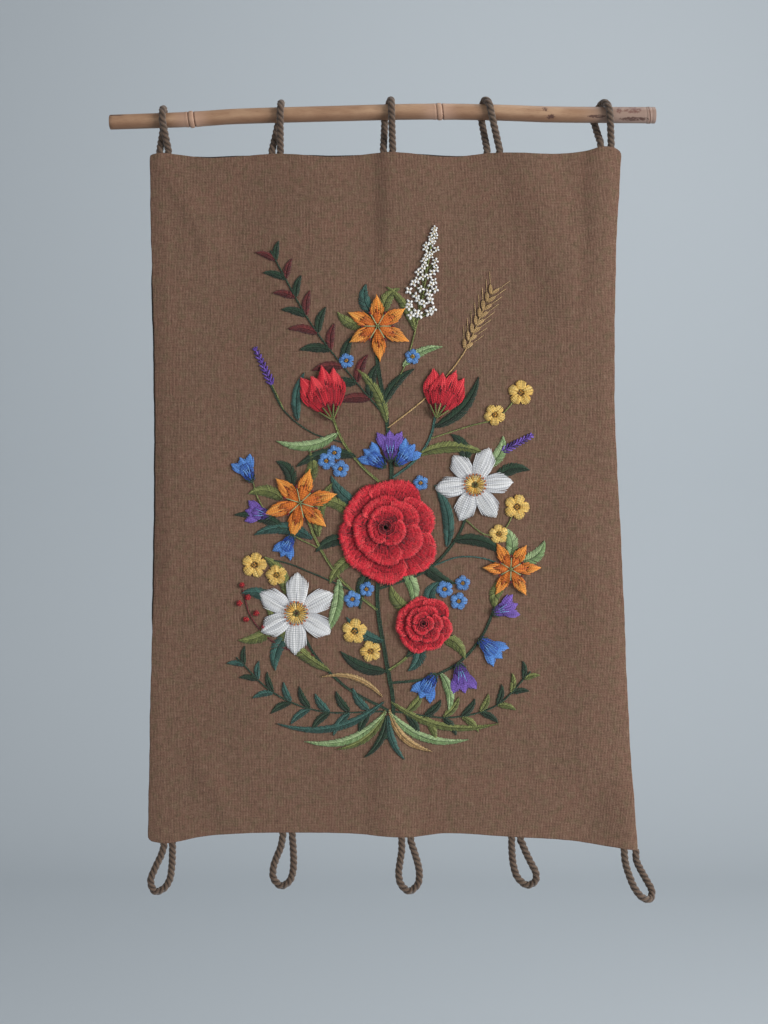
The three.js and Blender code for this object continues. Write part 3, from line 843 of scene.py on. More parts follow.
def laid_rope(name, route):
    """Three-strand rope along a route: a lobed section that turns once in each lay."""
    ends = []
    for end, inner in ((route[0], route[1]), (route[-1], route[-2])):
        ends.append(end + (end - inner) / np.linalg.norm(end - inner) * SEAM_DEPTH)
    line, along = curve_along([ends[0], *route, ends[1]], ROPE_RING_SPACING)
    outward = line - np.column_stack([line[:, 0], np.zeros(len(line)), rod_height(line[:, 0])])
    reach = np.linalg.norm(outward, axis=1)
    outward /= reach[:, None]
    bearing = 1 - smooth((reach - BEARING_REACH) / 4)
    line = line - outward * (bearing * ROPE_PRESSED * ROPE_RADIUS)[:, None]
    along = np.concatenate([[0], np.cumsum(np.linalg.norm(np.diff(line, axis=0), axis=1))])
    tangent = np.gradient(line, axis=0)
    tangent /= np.linalg.norm(tangent, axis=1)[:, None]
    side = np.cross(tangent[0], (1, 0, 0) if abs(tangent[0][0]) < 0.9 else (0, 1, 0))
    sides = []
    for direction in tangent:
        side = side - direction * (side @ direction)
        side /= np.linalg.norm(side)
        sides.append(side)
    sides = np.array(sides)
    others = np.cross(tangent, sides)
    around = np.arange(ROPE_SIDES) / ROPE_SIDES
    strand = around[None, :] + along[:, None] / ROPE_LAY
    lobe = np.abs(np.cos(math.pi * ROPE_STRANDS * strand)) ** 0.6
    radius = ROPE_RADIUS * (1 - ROPE_GROOVE + ROPE_GROOVE * lobe)
    turn = 2 * math.pi * around
    offset = sides[:, None, :] * (radius * np.cos(turn))[:, :, None]
    offset = offset + others[:, None, :] * (radius * np.sin(turn))[:, :, None]
    proud = np.einsum("kji,ki->kj", offset, outward)
    bedded = smooth(-proud / (BEDDED_FROM * ROPE_RADIUS) - 1)
    settled = (proud - (ROPE_RADIUS + proud) * bedded) * (1 - ROPE_PRESSED)
    offset = offset + outward[:, None, :] * (bearing[:, None] * (settled - proud))[:, :, None]
    from_end = np.minimum(along, along[-1] - along)
    flat = SEAM_FLATTENING + (1 - SEAM_FLATTENING) * smooth(from_end / SEAM_FLATTENED_LENGTH)
    offset[:, :, 1] *= flat[:, None]
    points = (line[:, None, :] + offset).reshape(-1, 3)
    k, j = np.meshgrid(np.arange(len(line) - 1), np.arange(ROPE_SIDES), indexing="ij")
    here = k * ROPE_SIDES + j
    beside = k * ROPE_SIDES + (j + 1) % ROPE_SIDES
    quads = np.stack([here, beside, beside + ROPE_SIDES, here + ROPE_SIDES], axis=-1).reshape(-1, 4)
    start_cap = np.arange(ROPE_SIDES)[None, ::-1]
    end_cap = start_cap[:, ::-1] + (len(line) - 1) * ROPE_SIDES
    piece, corners = mesh_piece(name, points, quads, start_cap, end_cap)
    uv = piece.data.uv_layers.new(name="UVMap")
    round_it = np.stack([j, j + 1, j + 1, j], axis=-1) / ROPE_SIDES
    down_it = along[np.stack([k, k, k + 1, k + 1], axis=-1)]
    wound = np.column_stack([round_it.ravel(), down_it.ravel()])
    caps = np.zeros((2 * ROPE_SIDES, 2))
    uv.data.foreach_set("uv", np.vstack([wound, caps]).ravel())
    groove = piece.data.attributes.new("groove", "FLOAT", "POINT")
    groove.data.foreach_set("value", (1 - lobe).ravel())
    return piece, line, along[-1]


ROPE_BROWN = colour(86, 67, 54)
ROPE_TAN = colour(93, 76, 62)
ROPE_FLECK_AND_HIGHLIGHT = colour(119, 99, 83)
ROPE_GROOVE_SHADE = colour(28, 21, 17)
YARNS_ROUND = 21
YARN_TURN = 9.0

wool_rope, place = new_finish("brown_rope", 0.9, sheen=0.25)
wound = place.node("ShaderNodeUVMap", {"uv_map": "UVMap"}, {})
groove = place.node("ShaderNodeAttribute", {"attribute_name": "groove"}, {}, output=2)
yarn_turn = wound.axis(0) * (2 * math.pi * YARNS_ROUND) - wound.axis(1) * (2 * math.pi / YARN_TURN)
yarn = yarn_turn.math("SINE", yarn_turn + (place.noise(500) - 0.5) * 3)
fuzz = place.noise(1500, 3.0, 0.7)
base = place.noise(60, 2.0).step(0.35, 0.65).mix(ROPE_BROWN, ROPE_TAN)
base = (fuzz.step(0.5, 0.8) * 0.5).mix(base, ROPE_FLECK_AND_HIGHLIGHT)
# Painted highlight on the crown of each strand, then painted shade in the gaps between the yarns and in the
# grooves between the strands.
base = (groove.step(0.22, 0.0) * 0.45).mix(base, ROPE_FLECK_AND_HIGHLIGHT)
base = (yarn.step(0.1, -1) * 0.3).mix(base, ROPE_GROOVE_SHADE)
base = (groove.step(0.25, 0.8) * 0.9).mix(base, ROPE_GROOVE_SHADE)
lay_on(wool_rope, base, yarn * 0.5 + fuzz, 0.0003)

routes = []
for i, loop in enumerate(TOP_LOOPS, 1):
    routes.append((f"rod_rope_{i}", f"top_loop_{i}", top_loop_route(loop), "taut"))
for i, (feet, line) in enumerate(BOTTOM_LOOPS, 1):
    routes.append((f"hem_rope_{i}", f"bottom_loop_{i}", bottom_loop_route(feet, line), "hanging"))
for name, node, route, lay in routes:
    rope, line, length = laid_rope(name, route)
    rope.data.materials.append(wool_rope)
    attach(rope, "root")
    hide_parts(node)
    line[0] * MM
    length * MM
    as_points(line * MM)

# Wool embroidery. Every stitch is a short length of two-ply wool that comes up through the
# cloth, lies on it and goes down again, so each is built as one thin tube with dipping ends.
STITCH_SIDES = 5
STITCH_SHARES = np.array([0, 0.13, 0.5, 0.87, 1])
STITCH_FATNESS = np.array([0.4, 0.92, 1.04, 0.92, 0.4])
STITCH_FLATNESS = 0.8
STITCH_WIDTH = 1.35
STITCH_SINK = 0.75
PITCH = 1.3
PLY_LENGTH = 2.2
WOOL_SHADOW = colour(24, 18, 16)
WOOL_FLUFF = colour(240, 232, 220)

hand = random.Random(11)


def stitch(work, start, end, shade, width=STITCH_WIDTH, low=(0.3, 0.3), rise=0.45, bow=0.0):
    """Adds one stitch; places are complex numbers, x + z times 1j, and heights stand on the cloth."""
    light = 1 + hand.uniform(-0.16, 0.14)
    start += complex(hand.uniform(-0.2, 0.2), hand.uniform(-0.2, 0.2))
    end += complex(hand.uniform(-0.2, 0.2), hand.uniform(-0.2, 0.2))
    width *= hand.uniform(0.9, 1.1)
    red, green, blue = (part * light for part in shade[:3])
    work.append((start, end, low[0], low[1], rise, bow, width, red, green, blue))


def run(work, place, start, end, shade, width=STITCH_WIDTH, low=(0.3, 0.3), rise=0.45):
    """One stitch along a curve, from one share of it to another, bowed as the curve is."""
    first, last = place(start), place(end)
    bow = ((place((start + end) / 2) - (first + last) / 2) / ((last - first) / abs(last - first))).imag
    stitch(work, first, last, shade, width, low, rise, bow)


def between(shades, share):
    """A colour at some share of the way through a list of them."""
    at = min(max(share, 0), 0.999) * (len(shades) - 1)
    first, second = shades[int(at)], shades[int(at) + 1]
    return tuple(a + (b - a) * (at - int(at)) for a, b in zip(first, second))


def sew(name, work):
    """Turns a list of stitches into one piece and fixes it to the panel."""
    columns = [np.array(column)[:, None] for column in zip(*work)]
    start, end, low_start, low_end, rise, bow, width = columns[:7]
    t = STITCH_SHARES[None, :]
    way = (end - start) / np.abs(end - start)
    path = start + (end - start) * t + way * 1j * bow * 4 * t * (1 - t)
    along = (end - start) + way * 1j * bow * 4 * (1 - 2 * t)
    across = along * 1j / np.abs(along)
    arch = 1 - (2 * t - 1) ** 4
    height = low_start + (low_end - low_start) * t + rise * arch - STITCH_SINK * (1 - arch)
    depth = front_depth(path.real, path.imag) - height
    turn = 2 * math.pi * np.arange(STITCH_SIDES) / STITCH_SIDES
    half = (width / 2 * STITCH_FATNESS)[:, :, None]
    flat = path[:, :, None] + across[:, :, None] * half * np.cos(turn)
    deep = depth[:, :, None] - half * STITCH_FLATNESS * np.sin(turn)
    points = np.stack([flat.real, deep, flat.imag], axis=-1).reshape(-1, 3)
    rings = len(STITCH_SHARES)
    size = rings * STITCH_SIDES
    first = (np.arange(len(work)) * size)[:, None, None]
    k, j = np.meshgrid(np.arange(rings - 1), np.arange(STITCH_SIDES), indexing="ij")
    here = k * STITCH_SIDES + j
    beside = k * STITCH_SIDES + (j + 1) % STITCH_SIDES
    cell = np.stack([here, beside, beside + STITCH_SIDES, here + STITCH_SIDES], axis=-1).reshape(1, -1, 4)
    start_cap = first[:, :, 0] + np.arange(STITCH_SIDES)[None, ::-1]
    end_cap = first[:, :, 0] + size - STITCH_SIDES + np.arange(STITCH_SIDES)[None, :]
    piece, _ = mesh_piece(name, points, (first + cell).reshape(-1, 4), start_cap, end_cap)
    length = np.abs(end - start)[:, :, None, None] * STITCH_SHARES[None, :, None, None]
    down = np.stack([length[:, :-1], length[:, :-1], length[:, 1:], length[:, 1:]], axis=-1)
    down = np.broadcast_to(down, (len(work), rings - 1, 1, 1, 4)).repeat(STITCH_SIDES, axis=2)
    round_it = np.stack([j, j + 1, j + 1, j], axis=-1) / STITCH_SIDES
    round_it = np.broadcast_to(round_it, (len(work), *round_it.shape))
    wound = np.stack([round_it.reshape(-1), down.reshape(-1)], axis=-1)
    caps = np.zeros((2 * len(work) * STITCH_SIDES, 2))
    piece.data.uv_layers.new(name="UVMap").data.foreach_set("uv", np.vstack([wound, caps]).ravel())
    shades = np.column_stack([*columns[7:], np.ones(len(work))])
    dyed = piece.data.attributes.new("wool", "FLOAT_COLOR", "POINT")
    dyed.data.foreach_set("color", np.repeat(shades, size, axis=0).astype(np.float32).ravel())
    piece.data.materials.append(wool)
    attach(piece, "root")
    return piece


wool, place = new_finish("embroidery_wool", 0.85, sheen=0.2)
dyed = place.node("ShaderNodeAttribute", {"attribute_name": "wool"}, {})
wound = place.node("ShaderNodeUVMap", {"uv_map": "UVMap"}, {})
round_it = wound.axis(0) * (2 * math.pi)
ply_turn = round_it * 2 + wound.axis(1) * (2 * math.pi / PLY_LENGTH)
ply = ply_turn.math("SINE", ply_turn)
flank = round_it.math("COSINE", round_it)
flank = flank.math("ABSOLUTE", flank)
fuzz = place.noise(2600, 2.0, 0.7)
base = (fuzz.step(0.5, 0.2) * 0.4).mix(dyed, WOOL_SHADOW)
base = (fuzz.step(0.55, 0.85) * 0.22).mix(base, WOOL_FLUFF)
# Painted shade in the grooves between the plies and along both flanks of every stitch, where its neighbours
# shade it.
base = (ply.step(-0.2, -1) * 0.3).mix(base, WOOL_SHADOW)
base = (flank.step(0.6, 1.0) * 0.6).mix(base, WOOL_SHADOW)
lay_on(wool, base, ply * 0.6 + fuzz, 0.00018)

# Stems. Lines of slanted, overlapping stitches in two or three rows: the main stem springs
# from the foot of the design, and its branches leave it by turns on either side.
DARK_GREEN = [colour(24, 44, 30), colour(40, 68, 46)]
BOTTLE_GREEN = [colour(34, 66, 58), colour(66, 108, 98)]
OLIVE_GREEN = [colour(84, 92, 44), colour(136, 142, 80)]
LIGHT_GREEN = [colour(116, 144, 90), colour(172, 194, 142)]
MAROON = [colour(74, 24, 26), colour(116, 44, 42)]
TAN_GOLD = [colour(158, 122, 74), colour(206, 172, 120)]
STEM_STITCH = 5.2
STEM_STEP = 2.7
STEM_OFFSET = 0.3
MAIN_STEM = [
    (4, -628),
    (11, -600),
    (3, -545),
    (-5, -490),
    (0, -430),
    (9, -370),
    (3, -300),
    (-5, -250),
    (-4, -222),
]
BRANCHES = [  # points along the branch, rows of stitches, which green
    ([(8, -600), (-36, -576), (-70, -540), (-84, -506)], 2, DARK_GREEN),
    ([(6, -572), (44, -567), (78, -550), (100, -524), (113, -494)], 2, DARK_GREEN),
    ([(5, -560), (22, -548), (36, -532), (42, -516)], 2, OLIVE_GREEN),
    ([(-4, -500), (-40, -470), (-66, -430), (-78, -398)], 2, OLIVE_GREEN),
    ([(-4, -478), (46, -458), (78, -420), (88, -380)], 2, DARK_GREEN),
    ([(8, -380), (-20, -356), (-40, -330), (-50, -306)], 2, OLIVE_GREEN),
    ([(9, -368), (34, -348), (48, -326), (53, -304)], 2, BOTTLE_GREEN),
    ([(2, -296), (24, -250), (38, -196), (50, -124)], 1, OLIVE_GREEN),
    ([(4, -318), (44, -286), (80, -244), (102, -196)], 1, TAN_GOLD),
    ([(50, -455), (76, -446), (104, -448), (126, -458)], 1, BOTTLE_GREEN),
    ([(-26, -482), (-70, -462), (-104, -450), (-126, -452)], 1, DARK_GREEN),
    ([(82, -408), (104, -424), (122, -418), (132, -398)], 1, OLIVE_GREEN),
    ([(47, -328), (84, -316), (116, -306), (136, -284)], 1, OLIVE_GREEN),
    ([(-62, -438), (-96, -420), (-122, -392), (-132, -362)], 1, OLIVE_GREEN),
    ([(-66, -545), (-104, -534), (-130, -508), (-140, -478)], 1, MAROON),
    ([(-38, -332), (-70, -322), (-98, -300), (-114, -270)], 1, DARK_GREEN),
]
FROND_SPINES = [
    [(-2, -300), (-34, -262), (-72, -212), (-112, -140)],
    [(2, -600), (-62, -600), (-108, -582), (-146, -546)],
    [(10, -600), (70, -606), (114, -594), (148, -560)],
]


def curved(points):
    """A smooth line through points, read at any share of its length, and that length."""
    line, along = curve_along(points, 1.0)
    flat = line[:, 0] + 1j * line[:, 1]

    def place(share):
        at = share * along[-1]
        return complex(np.interp(at, along, flat.real), np.interp(at, along, flat.imag))

    return place, along[-1]


def stem(work, points, shades, rows=1, low=0.35, width=1.5):
    """A stem of slanted stitches, each starting half-way along the one before."""
    place, length = curved(points)
    for row in range(rows):
        at = 0.0
        while at < length - 1:
            end = min(at + STEM_STITCH, length)
            way = place(end / length) - place(at / length)
            left = way / abs(way) * 1j
            shift = left * (row - (rows - 1) / 2) * width * 0.8
            shade = between(shades, (row + 0.5) / rows + hand.uniform(-0.3, 0.3))
            first = place(at / length) + shift + left * STEM_OFFSET
            last = place(end / length) + shift - left * STEM_OFFSET
            stitch(work, first, last, shade, width, (low, low))
            at += STEM_STEP


stems = []
stem(stems, MAIN_STEM, DARK_GREEN, rows=3, width=1.6)
for points, rows, shades in BRANCHES:
    stem(stems, points, shades, rows)
for points in FROND_SPINES:
    stem(stems, points, DARK_GREEN, width=1.7)
sew("embroidered_stems", stems)

# Fronds, leaves and grasses. A leaf is filled from its midrib out to both edges with slanted
# stitches, lighter on its upper side, and the leaves of a frond take turns in two colours.
FRONDS = [  # leaf length at the foot, at the tip, pairs, colours that take turns
    (34, 20, 9, [DARK_GREEN, MAROON]),
    (27, 17, 8, [BOTTLE_GREEN, DARK_GREEN]),
    (27, 17, 8, [DARK_GREEN, OLIVE_GREEN]),
]
LEAVES = [  # foot x, z, tip x, z, width, bend, colours
    (-52, -560, -118, -488, 12, 10, OLIVE_GREEN),
    (58, -562, 66, -600, 10, 5, LIGHT_GREEN),
    (-44, -468, -58, -524, 12, 5, LIGHT_GREEN),
    (-70, -428, -128, -424, 13, -9, BOTTLE_GREEN),
    (-64, -426, -50, -372, 12, 6, OLIVE_GREEN),
    (64, -436, 52, -374, 12, -7, BOTTLE_GREEN),
    (70, -430, 124, -446, 12, 8, DARK_GREEN),
    (-26, -346, -86, -356, 12, -8, DARK_GREEN),
    (-44, -322, -106, -330, 11, 9, LIGHT_GREEN),
    (36, -344, 104, -344, 12, 8, OLIVE_GREEN),
    (52, -316, 96, -266, 12, -9, DARK_GREEN),
    (4, -312, -26, -258, 11, -6, OLIVE_GREEN),
    (0, -296, 32, -258, 10, 5, DARK_GREEN),
    (20, -256, 60, -236, 9, 5, LIGHT_GREEN),
    (32, -220, 4, -176, 9, -5, OLIVE_GREEN),
    (4, -560, -42, -540, 12, 6, DARK_GREEN),
    (1, -530, -36, -506, 11, 5, BOTTLE_GREEN),
    (24, -546, 70, -524, 11, 5, DARK_GREEN),
    (-96, -420, -148, -404, 11, -6, DARK_GREEN),
    (-84, -310, -78, -262, 10, 5, BOTTLE_GREEN),
]
BLADES = [  # foot x, z, tip x, z, width, bend, colours
    (4, -600, -78, -630, 9, 14, LIGHT_GREEN),
    (6, -600, 86, -628, 9, -13, LIGHT_GREEN),
    (3, -598, -46, -638, 8, 10, OLIVE_GREEN),
    (7, -598, 50, -640, 8, -10, TAN_GOLD),
    (4, -604, -18, -646, 8, 6, DARK_GREEN),
    (6, -604, 22, -648, 8, -5, BOTTLE_GREEN),
    (2, -590, -106, -612, 8, 16, BOTTLE_GREEN),
    (8, -590, 116, -612, 8, -14, OLIVE_GREEN),
    (0, -586, -62, -566, 6, -10, TAN_GOLD),
]
COLLARS = [  # leaves behind a flower: its x, z, their start and end, the ways they point, colours
    (6, -420, 36, 82, (196, 222, 250), [DARK_GREEN, OLIVE_GREEN]),
    (6, -420, 36, 80, (288, 322), [LIGHT_GREEN, DARK_GREEN]),
    (6, -420, 36, 78, (136, 158), [BOTTLE_GREEN, OLIVE_GREEN]),
    (42, -514, 18, 50, (250, 320, 70, 130), [BOTTLE_GREEN, OLIVE_GREEN]),
    (-86, -502, 22, 60, (120, 160, 205, 250), [OLIVE_GREEN, BOTTLE_GREEN]),
    (92, -374, 22, 58, (15, 60, 115), [DARK_GREEN, LIGHT_GREEN]),
    (-82, -392, 18, 52, (80, 120, 170), [OLIVE_GREEN, DARK_GREEN]),
    (128, -458, 12, 44, (40, 250, 100), [LIGHT_GREEN, OLIVE_GREEN]),
    (-5, -216, 12, 44, (60, 105, 160), [OLIVE_GREEN, BOTTLE_GREEN]),
]
COLLAR_LEAF_WIDTH = 13


def leaf(work, foot, tip, width, bend, shades, low=0.3):
    """A leaf of slanted stitches from the midrib out to both edges."""
    length = abs(tip - foot)
    way = (tip - foot) / length

    def spine(t):
        return foot + (tip - foot) * t + way * 1j * bend * 4 * t * (1 - t)

    def half(t):
        return width / 2 * math.sin(math.pi * min(max(t, 0), 1) ** 0.8) ** 0.7

    count = max(4, round(length / PITCH))
    for i in range(count):
        t = (i + 0.5) / count
        for side in (1, -1):
            far = min(t + 0.75 * half(t) / length, 1)
            ahead = spine(min(far + 0.02, 1.0)) - spine(far - 0.02)
            out = ahead / abs(ahead) * 1j * side
            edge = spine(far) + out * half(far) * hand.uniform(0.92, 1.1)
            lit = 0.75 if out.imag > 0 else 0.2
            shade = between(shades, lit + hand.uniform(-0.25, 0.25))
            stitch(work, spine(t) - out * 0.2, edge, shade, low=(low + 0.7, low), rise=0.35)


fronds = []
for points, (foot_length, tip_length, pairs, greens) in zip(FROND_SPINES, FRONDS):
    place_on, length = curved(points)
    for pair in range(pairs):
        share = (pair + 0.7) / (pairs + 0.3)
        way = place_on(min(share + 0.02, 1)) - place_on(share - 0.02)
        way /= abs(way)
        long = foot_length + (tip_length - foot_length) * share
        for side in (1, -1):
            shades = greens[(pair + (side > 0)) % len(greens)]
            lean = way * np.exp(1j * side * math.radians(58 + hand.uniform(-6, 6) - 20 * share))
            foot = place_on(share) + lean
            reach = long * hand.uniform(0.9, 1.1)
            leaf(fronds, foot, foot + lean * reach, long * 0.34, -side * reach * 0.10, shades)
sew("embroidered_fronds", fronds)

leaves = []
for foot_x, foot_z, tip_x, tip_z, width, bend, shades in LEAVES:
    leaf(leaves, complex(foot_x, foot_z), complex(tip_x, tip_z), width, bend, shades, low=0.5)
sew("embroidered_leaves", leaves)

grasses = []
for foot_x, foot_z, tip_x, tip_z, width, bend, shades in BLADES:
    leaf(grasses, complex(foot_x, foot_z), complex(tip_x, tip_z), width, bend, shades, low=0.5)
for x, z, start, end, ways, greens in COLLARS:
    for k, degrees in enumerate(ways):
        way = np.exp(1j * math.radians(degrees))
        reach = end * hand.uniform(0.92, 1.08)
        bend = hand.choice((-6, 6))
        foot, tip = (complex(x, z) + way * out for out in (start, reach))
        leaf(grasses, foot, tip, COLLAR_LEAF_WIDTH, bend, greens[k % 2])
sew("embroidered_grasses", grasses)

# Sprigs and small blossoms. Bellflowers, forget-me-nots, buttercups, a spike of white florets,
# an ear of wheat, lavender and berries, worked in single stitches and wound knots.
YELLOW = [colour(214, 156, 58), colour(238, 198, 108), colour(248, 220, 146)]
ROYAL_BLUE = [colour(26, 44, 112), colour(40, 84, 176), colour(92, 146, 218)]
SKY_BLUE = [colour(62, 116, 190), colour(126, 176, 230)]
VIOLET = [colour(56, 34, 98), colour(96, 64, 154), colour(128, 96, 186)]
BERRY_RED = [colour(120, 22, 30), colour(190, 44, 48)]
FLORET_WHITE = colour(238, 236, 232)
ORANGE = [colour(196, 92, 30), colour(226, 128, 40), colour(244, 172, 78)]
AMBER = colour(230, 164, 60)
BELLS = [  # foot x, z, way it opens in degrees, size, colours
    (52, -563, -122, 29, ROYAL_BLUE),
    (76, -552, -78, 31, VIOLET),
    (97, -528, -40, 30, ROYAL_BLUE),
    (110, -502, 20, 27, VIOLET),
    (2, -356, 140, 28, ROYAL_BLUE),
    (8, -350, 92, 31, VIOLET),
    (14, -354, 48, 28, ROYAL_BLUE),
    (-90, -424, -118, 25, ROYAL_BLUE),
    (-112, -404, 170, 26, VIOLET),
    (-130, -370, 118, 27, ROYAL_BLUE),
]
BLOSSOMS = [  # x, z, size, petals, turn, colours
    (-128, -454, 13, 5, 0.1, YELLOW),
    (-106, -464, 11, 5, 0.5, YELLOW),
    (-28, -520, 13, 5, 0.2, YELLOW),
    (-12, -540, 11, 5, 0.6, YELLOW),
    (134, -396, 13, 5, 0.0, YELLOW),
    (116, -423, 10, 5, 0.4, YELLOW),
    (138, -282, 13, 5, 0.3, YELLOW),
    (112, -304, 11, 5, 0.9, YELLOW),
    (76, -490, 9, 5, 0.1, SKY_BLUE),
    (62, -478, 9, 5, 0.7, SKY_BLUE),
    (80, -472, 8, 5, 0.3, SKY_BLUE),
    (-42, -358, 9, 5, 0.2, SKY_BLUE),
    (-56, -350, 9, 5, 0.9, SKY_BLUE),
    (-48, -342, 8, 5, 0.5, SKY_BLUE),
    (-30, -488, 9, 5, 0.5, SKY_BLUE),
    (-16, -478, 8, 5, 0.1, SKY_BLUE),
    (38, -372, 8, 5, 0.5, SKY_BLUE),
    (-36, -250, 8, 5, 0.5, SKY_BLUE),
    (30, -246, 8, 5, 0.2, SKY_BLUE),
]
SPIKE_FOOT, SPIKE_TIP, SPIKE_FLORETS, SPIKE_WIDTH = complex(35, -206), complex(52, -118), 46, 19
WHEAT_FOOT, WHEAT_TIP, WHEAT_GRAINS = complex(82, -238), complex(112, -176), 8
LAVENDER = [((-98, -300), (-128, -236)), ((98, -352), (150, -324))]
BERRIES = [(-140, -474), (-134, -486), (-143, -492), (-126, -502), (-136, -508), (-118, -516)]


def knot(work, at, size, shade, low):
    """A wound knot: three short bowed stitches round a dimple."""
    corners = [at + size * 0.32 * np.exp(2j * math.pi * (k / 3 + hand.random() * 0.1)) for k in range(3)]
    for k in range(3):
        bow = -size * 0.16
        stitch(work, corners[k], corners[(k + 1) % 3], shade, size * 0.55, (low + 0.5, low + 0.5), 0.5, bow)


def petal(work, base, tip, width, shades, low=0.8, dome=0.7, waist=0.3, blunt=0.25, point=0.0, cuts=1):
    """A petal of stitches that run from its base to its rim, in one or more lengths."""
    length = abs(tip - base)
    way = (tip - base) / length
    count = max(3, round(width / PITCH))
    for k in range(count):
        side = (k + 0.5) / count * 2 - 1
        far = 1 - blunt * abs(side) ** 2.2 + hand.uniform(-0.02, 0.02)

        def place(t, side=side):
            grown = waist + (1 - waist) * float(smooth(t / 0.6))
            closing = 1 - point * max(0.0, (t - 0.6) / 0.4) ** 1.6
            return base + way * length * t + way * 1j * side * width / 2 * grown * closing

        height = low + dome * (1 - side * side)
        marks = [far * (n + hand.uniform(-0.2, 0.2) * (0 < n < cuts)) / cuts for n in range(cuts + 1)]
        for near, end in zip(marks, marks[1:]):
            shade = between(shades, (near + end) / 2 + hand.uniform(-0.2, 0.2))
            run(work, place, max(near - 0.03, 0), end, shade, low=(height, height - 0.3 * end))


def bell(work, foot, way, size, shades, low):
    """A bellflower from the side: a full cup, and pointed lobes that flare at its mouth."""
    for bend in (-0.5, 0.5, 0):
        lobe = foot + way * size * 0.48 + way * 1j * bend * size * 0.3
        tip = lobe + way * np.exp(1j * bend) * size * 0.52
        petal(work, lobe, tip, size * 0.34, shades[1:] + shades[-1:], low + 0.1, 0.5, 0.8, 0.3, 0.95)
    petal(work, foot, foot + way * size * 0.74, size * 0.54, shades, low + 0.4, 1.3, 0.5, 0.14, 0.0, 2)
    for bend in (-0.22, 0, 0.22):
        vein = way * np.exp(1j * bend) * size
        stitch(work, foot + vein * 0.2, foot + vein * 0.66, SKY_BLUE[1], 0.7, (low + 1.9, low + 1.6))
    for bend in (-0.9, -0.3, 0.3, 0.9):
        tip = foot + way * np.exp(1j * bend) * size * 0.28
        green = between(DARK_GREEN, hand.random())
        stitch(work, foot - way * 2, tip, green, 1.4, (low + 1.5, low + 1.9), 0.4)


def blossom(work, centre, size, petals, turn, shades, low):
    """A small open blossom: round petals, fine stitches from the heart, and a knotted heart."""
    for k in range(petals):
        way = np.exp(1j * (turn + k * math.tau / petals))
        tip = centre + way * size
        petal(work, centre + way * size * 0.2, tip, size * 0.86, shades, low + 0.2 * (k % 2), 0.6, 0.5, 0.3)
        vein = (centre + way * size * 0.2, centre + way * size * 0.6)
        stitch(work, *vein, shades[0], 0.8, (low + 1, low + 1), 0.3)
    for k in range(4):
        knot(work, centre + size * 0.11 * np.exp(1j * math.pi * k / 2), 1.8, AMBER, low + 1.0)
    knot(work, centre, 1.8, OLIVE_GREEN[0], low + 1.3)


def floret(work, centre, size, turn, low):
    """A tiny floret: four plump petals of one stitch each, round a pale yellow knot."""
    for k in range(4):
        way = np.exp(1j * (turn + k * math.pi / 2 + hand.uniform(-0.15, 0.15)))
        ends = (centre + way * 0.5, centre + way * size * hand.uniform(0.9, 1.05))
        stitch(work, *ends, FLORET_WHITE, size * 0.62, (low + 0.4, low), 0.5)
    knot(work, centre, 1.3, YELLOW[2], low + 0.9)


sprigs = []
for x, z, way, size, shades in BELLS:
    bell(sprigs, complex(x, z), np.exp(1j * math.radians(way)), size, shades, 1.0)
for x, z, size, petals, turn, shades in BLOSSOMS:
    blossom(sprigs, complex(x, z), size, petals, turn, shades, 1.0)
sew("embroidered_sprigs", sprigs)

small = []
spike = SPIKE_TIP - SPIKE_FOOT
for k in range(SPIKE_FLORETS):
    share = k / (SPIKE_FLORETS - 1)
    out = (1 - share) ** 0.7 * SPIKE_WIDTH * (-1 if k % 2 else 1) * hand.uniform(0.05, 1.0)
    centre = SPIKE_FOOT + spike * share + spike / abs(spike) * 1j * out
    foot = SPIKE_FOOT + spike * (share - 0.12)
    stitch(small, foot, centre, between(OLIVE_GREEN, hand.random()), 0.9, (0.4, 0.5))
    floret(small, centre, 4.6 - 1.6 * share, hand.uniform(0, math.tau), 0.9)
wheat = WHEAT_TIP - WHEAT_FOOT
for k in range(WHEAT_GRAINS):
    at = WHEAT_FOOT + wheat * k / WHEAT_GRAINS
    for side in (1, -1):
        way = wheat / abs(wheat) * np.exp(1j * side * 0.5)
        petal(small, at, at + way * 11, 4.4, TAN_GOLD, 0.6, 0.6, 0.3, 0.3, 0.8)
        stitch(small, at + way * 10, at + way * 24, TAN_GOLD[1], 0.6, (0.5, 0.3), 0.2)
for foot, tip in LAVENDER:
    stem(small, [foot, tip], OLIVE_GREEN, width=1.2)
    foot, tip = complex(*foot), complex(*tip)
    for k in range(9):
        at = foot + (tip - foot) * (0.4 + 0.6 * k / 9)
        for side in (1, -1, 0):
            way = (tip - foot) / abs(tip - foot) * np.exp(1j * side * 0.6)
            stitch(small, at, at + way * (8 - 0.4 * k), between(VIOLET, hand.random()), 1.9, (0.6, 0.6), 0.6)
for x, z in BERRIES:
    for k in range(5):
        at = complex(x, z) + 1.6 * np.exp(2j * math.pi * k / 5)
        knot(small, at, 3.0, between(BERRY_RED, hand.random()), 0.8)
    knot(small, complex(x, z), 2.8, BERRY_RED[1], 1.6)
sew("embroidered_small_work", small)

# Large flowers. White narcissi and orange lilies have petals of long stitches over a slight
# dome; the red roses and tulips are long and short stitches over a padding of thicker wool.
CRIMSON = [colour(84, 8, 20), colour(158, 16, 34), colour(206, 30, 48), colour(232, 70, 76)]
WHITE = [colour(170, 172, 180), colour(228, 228, 228), colour(246, 244, 240)]
WINE = colour(112, 18, 26)
NARCISSI = [(-86, -502, 41, 0.5), (92, -374, 38, 0.1)]  # x, z, size, turn
LILIES = [(-82, -392, 37, 0.25), (-5, -216, 34, 0.55), (128, -458, 29, 0.0)]
TULIPS = [(-50, -308, -0.32, 54), (54, -306, 0.28, 50)]  # foot x, z, lean, size
ROSES = [(42, -514, 29, 0.9), (6, -420, 52, 0.3)]


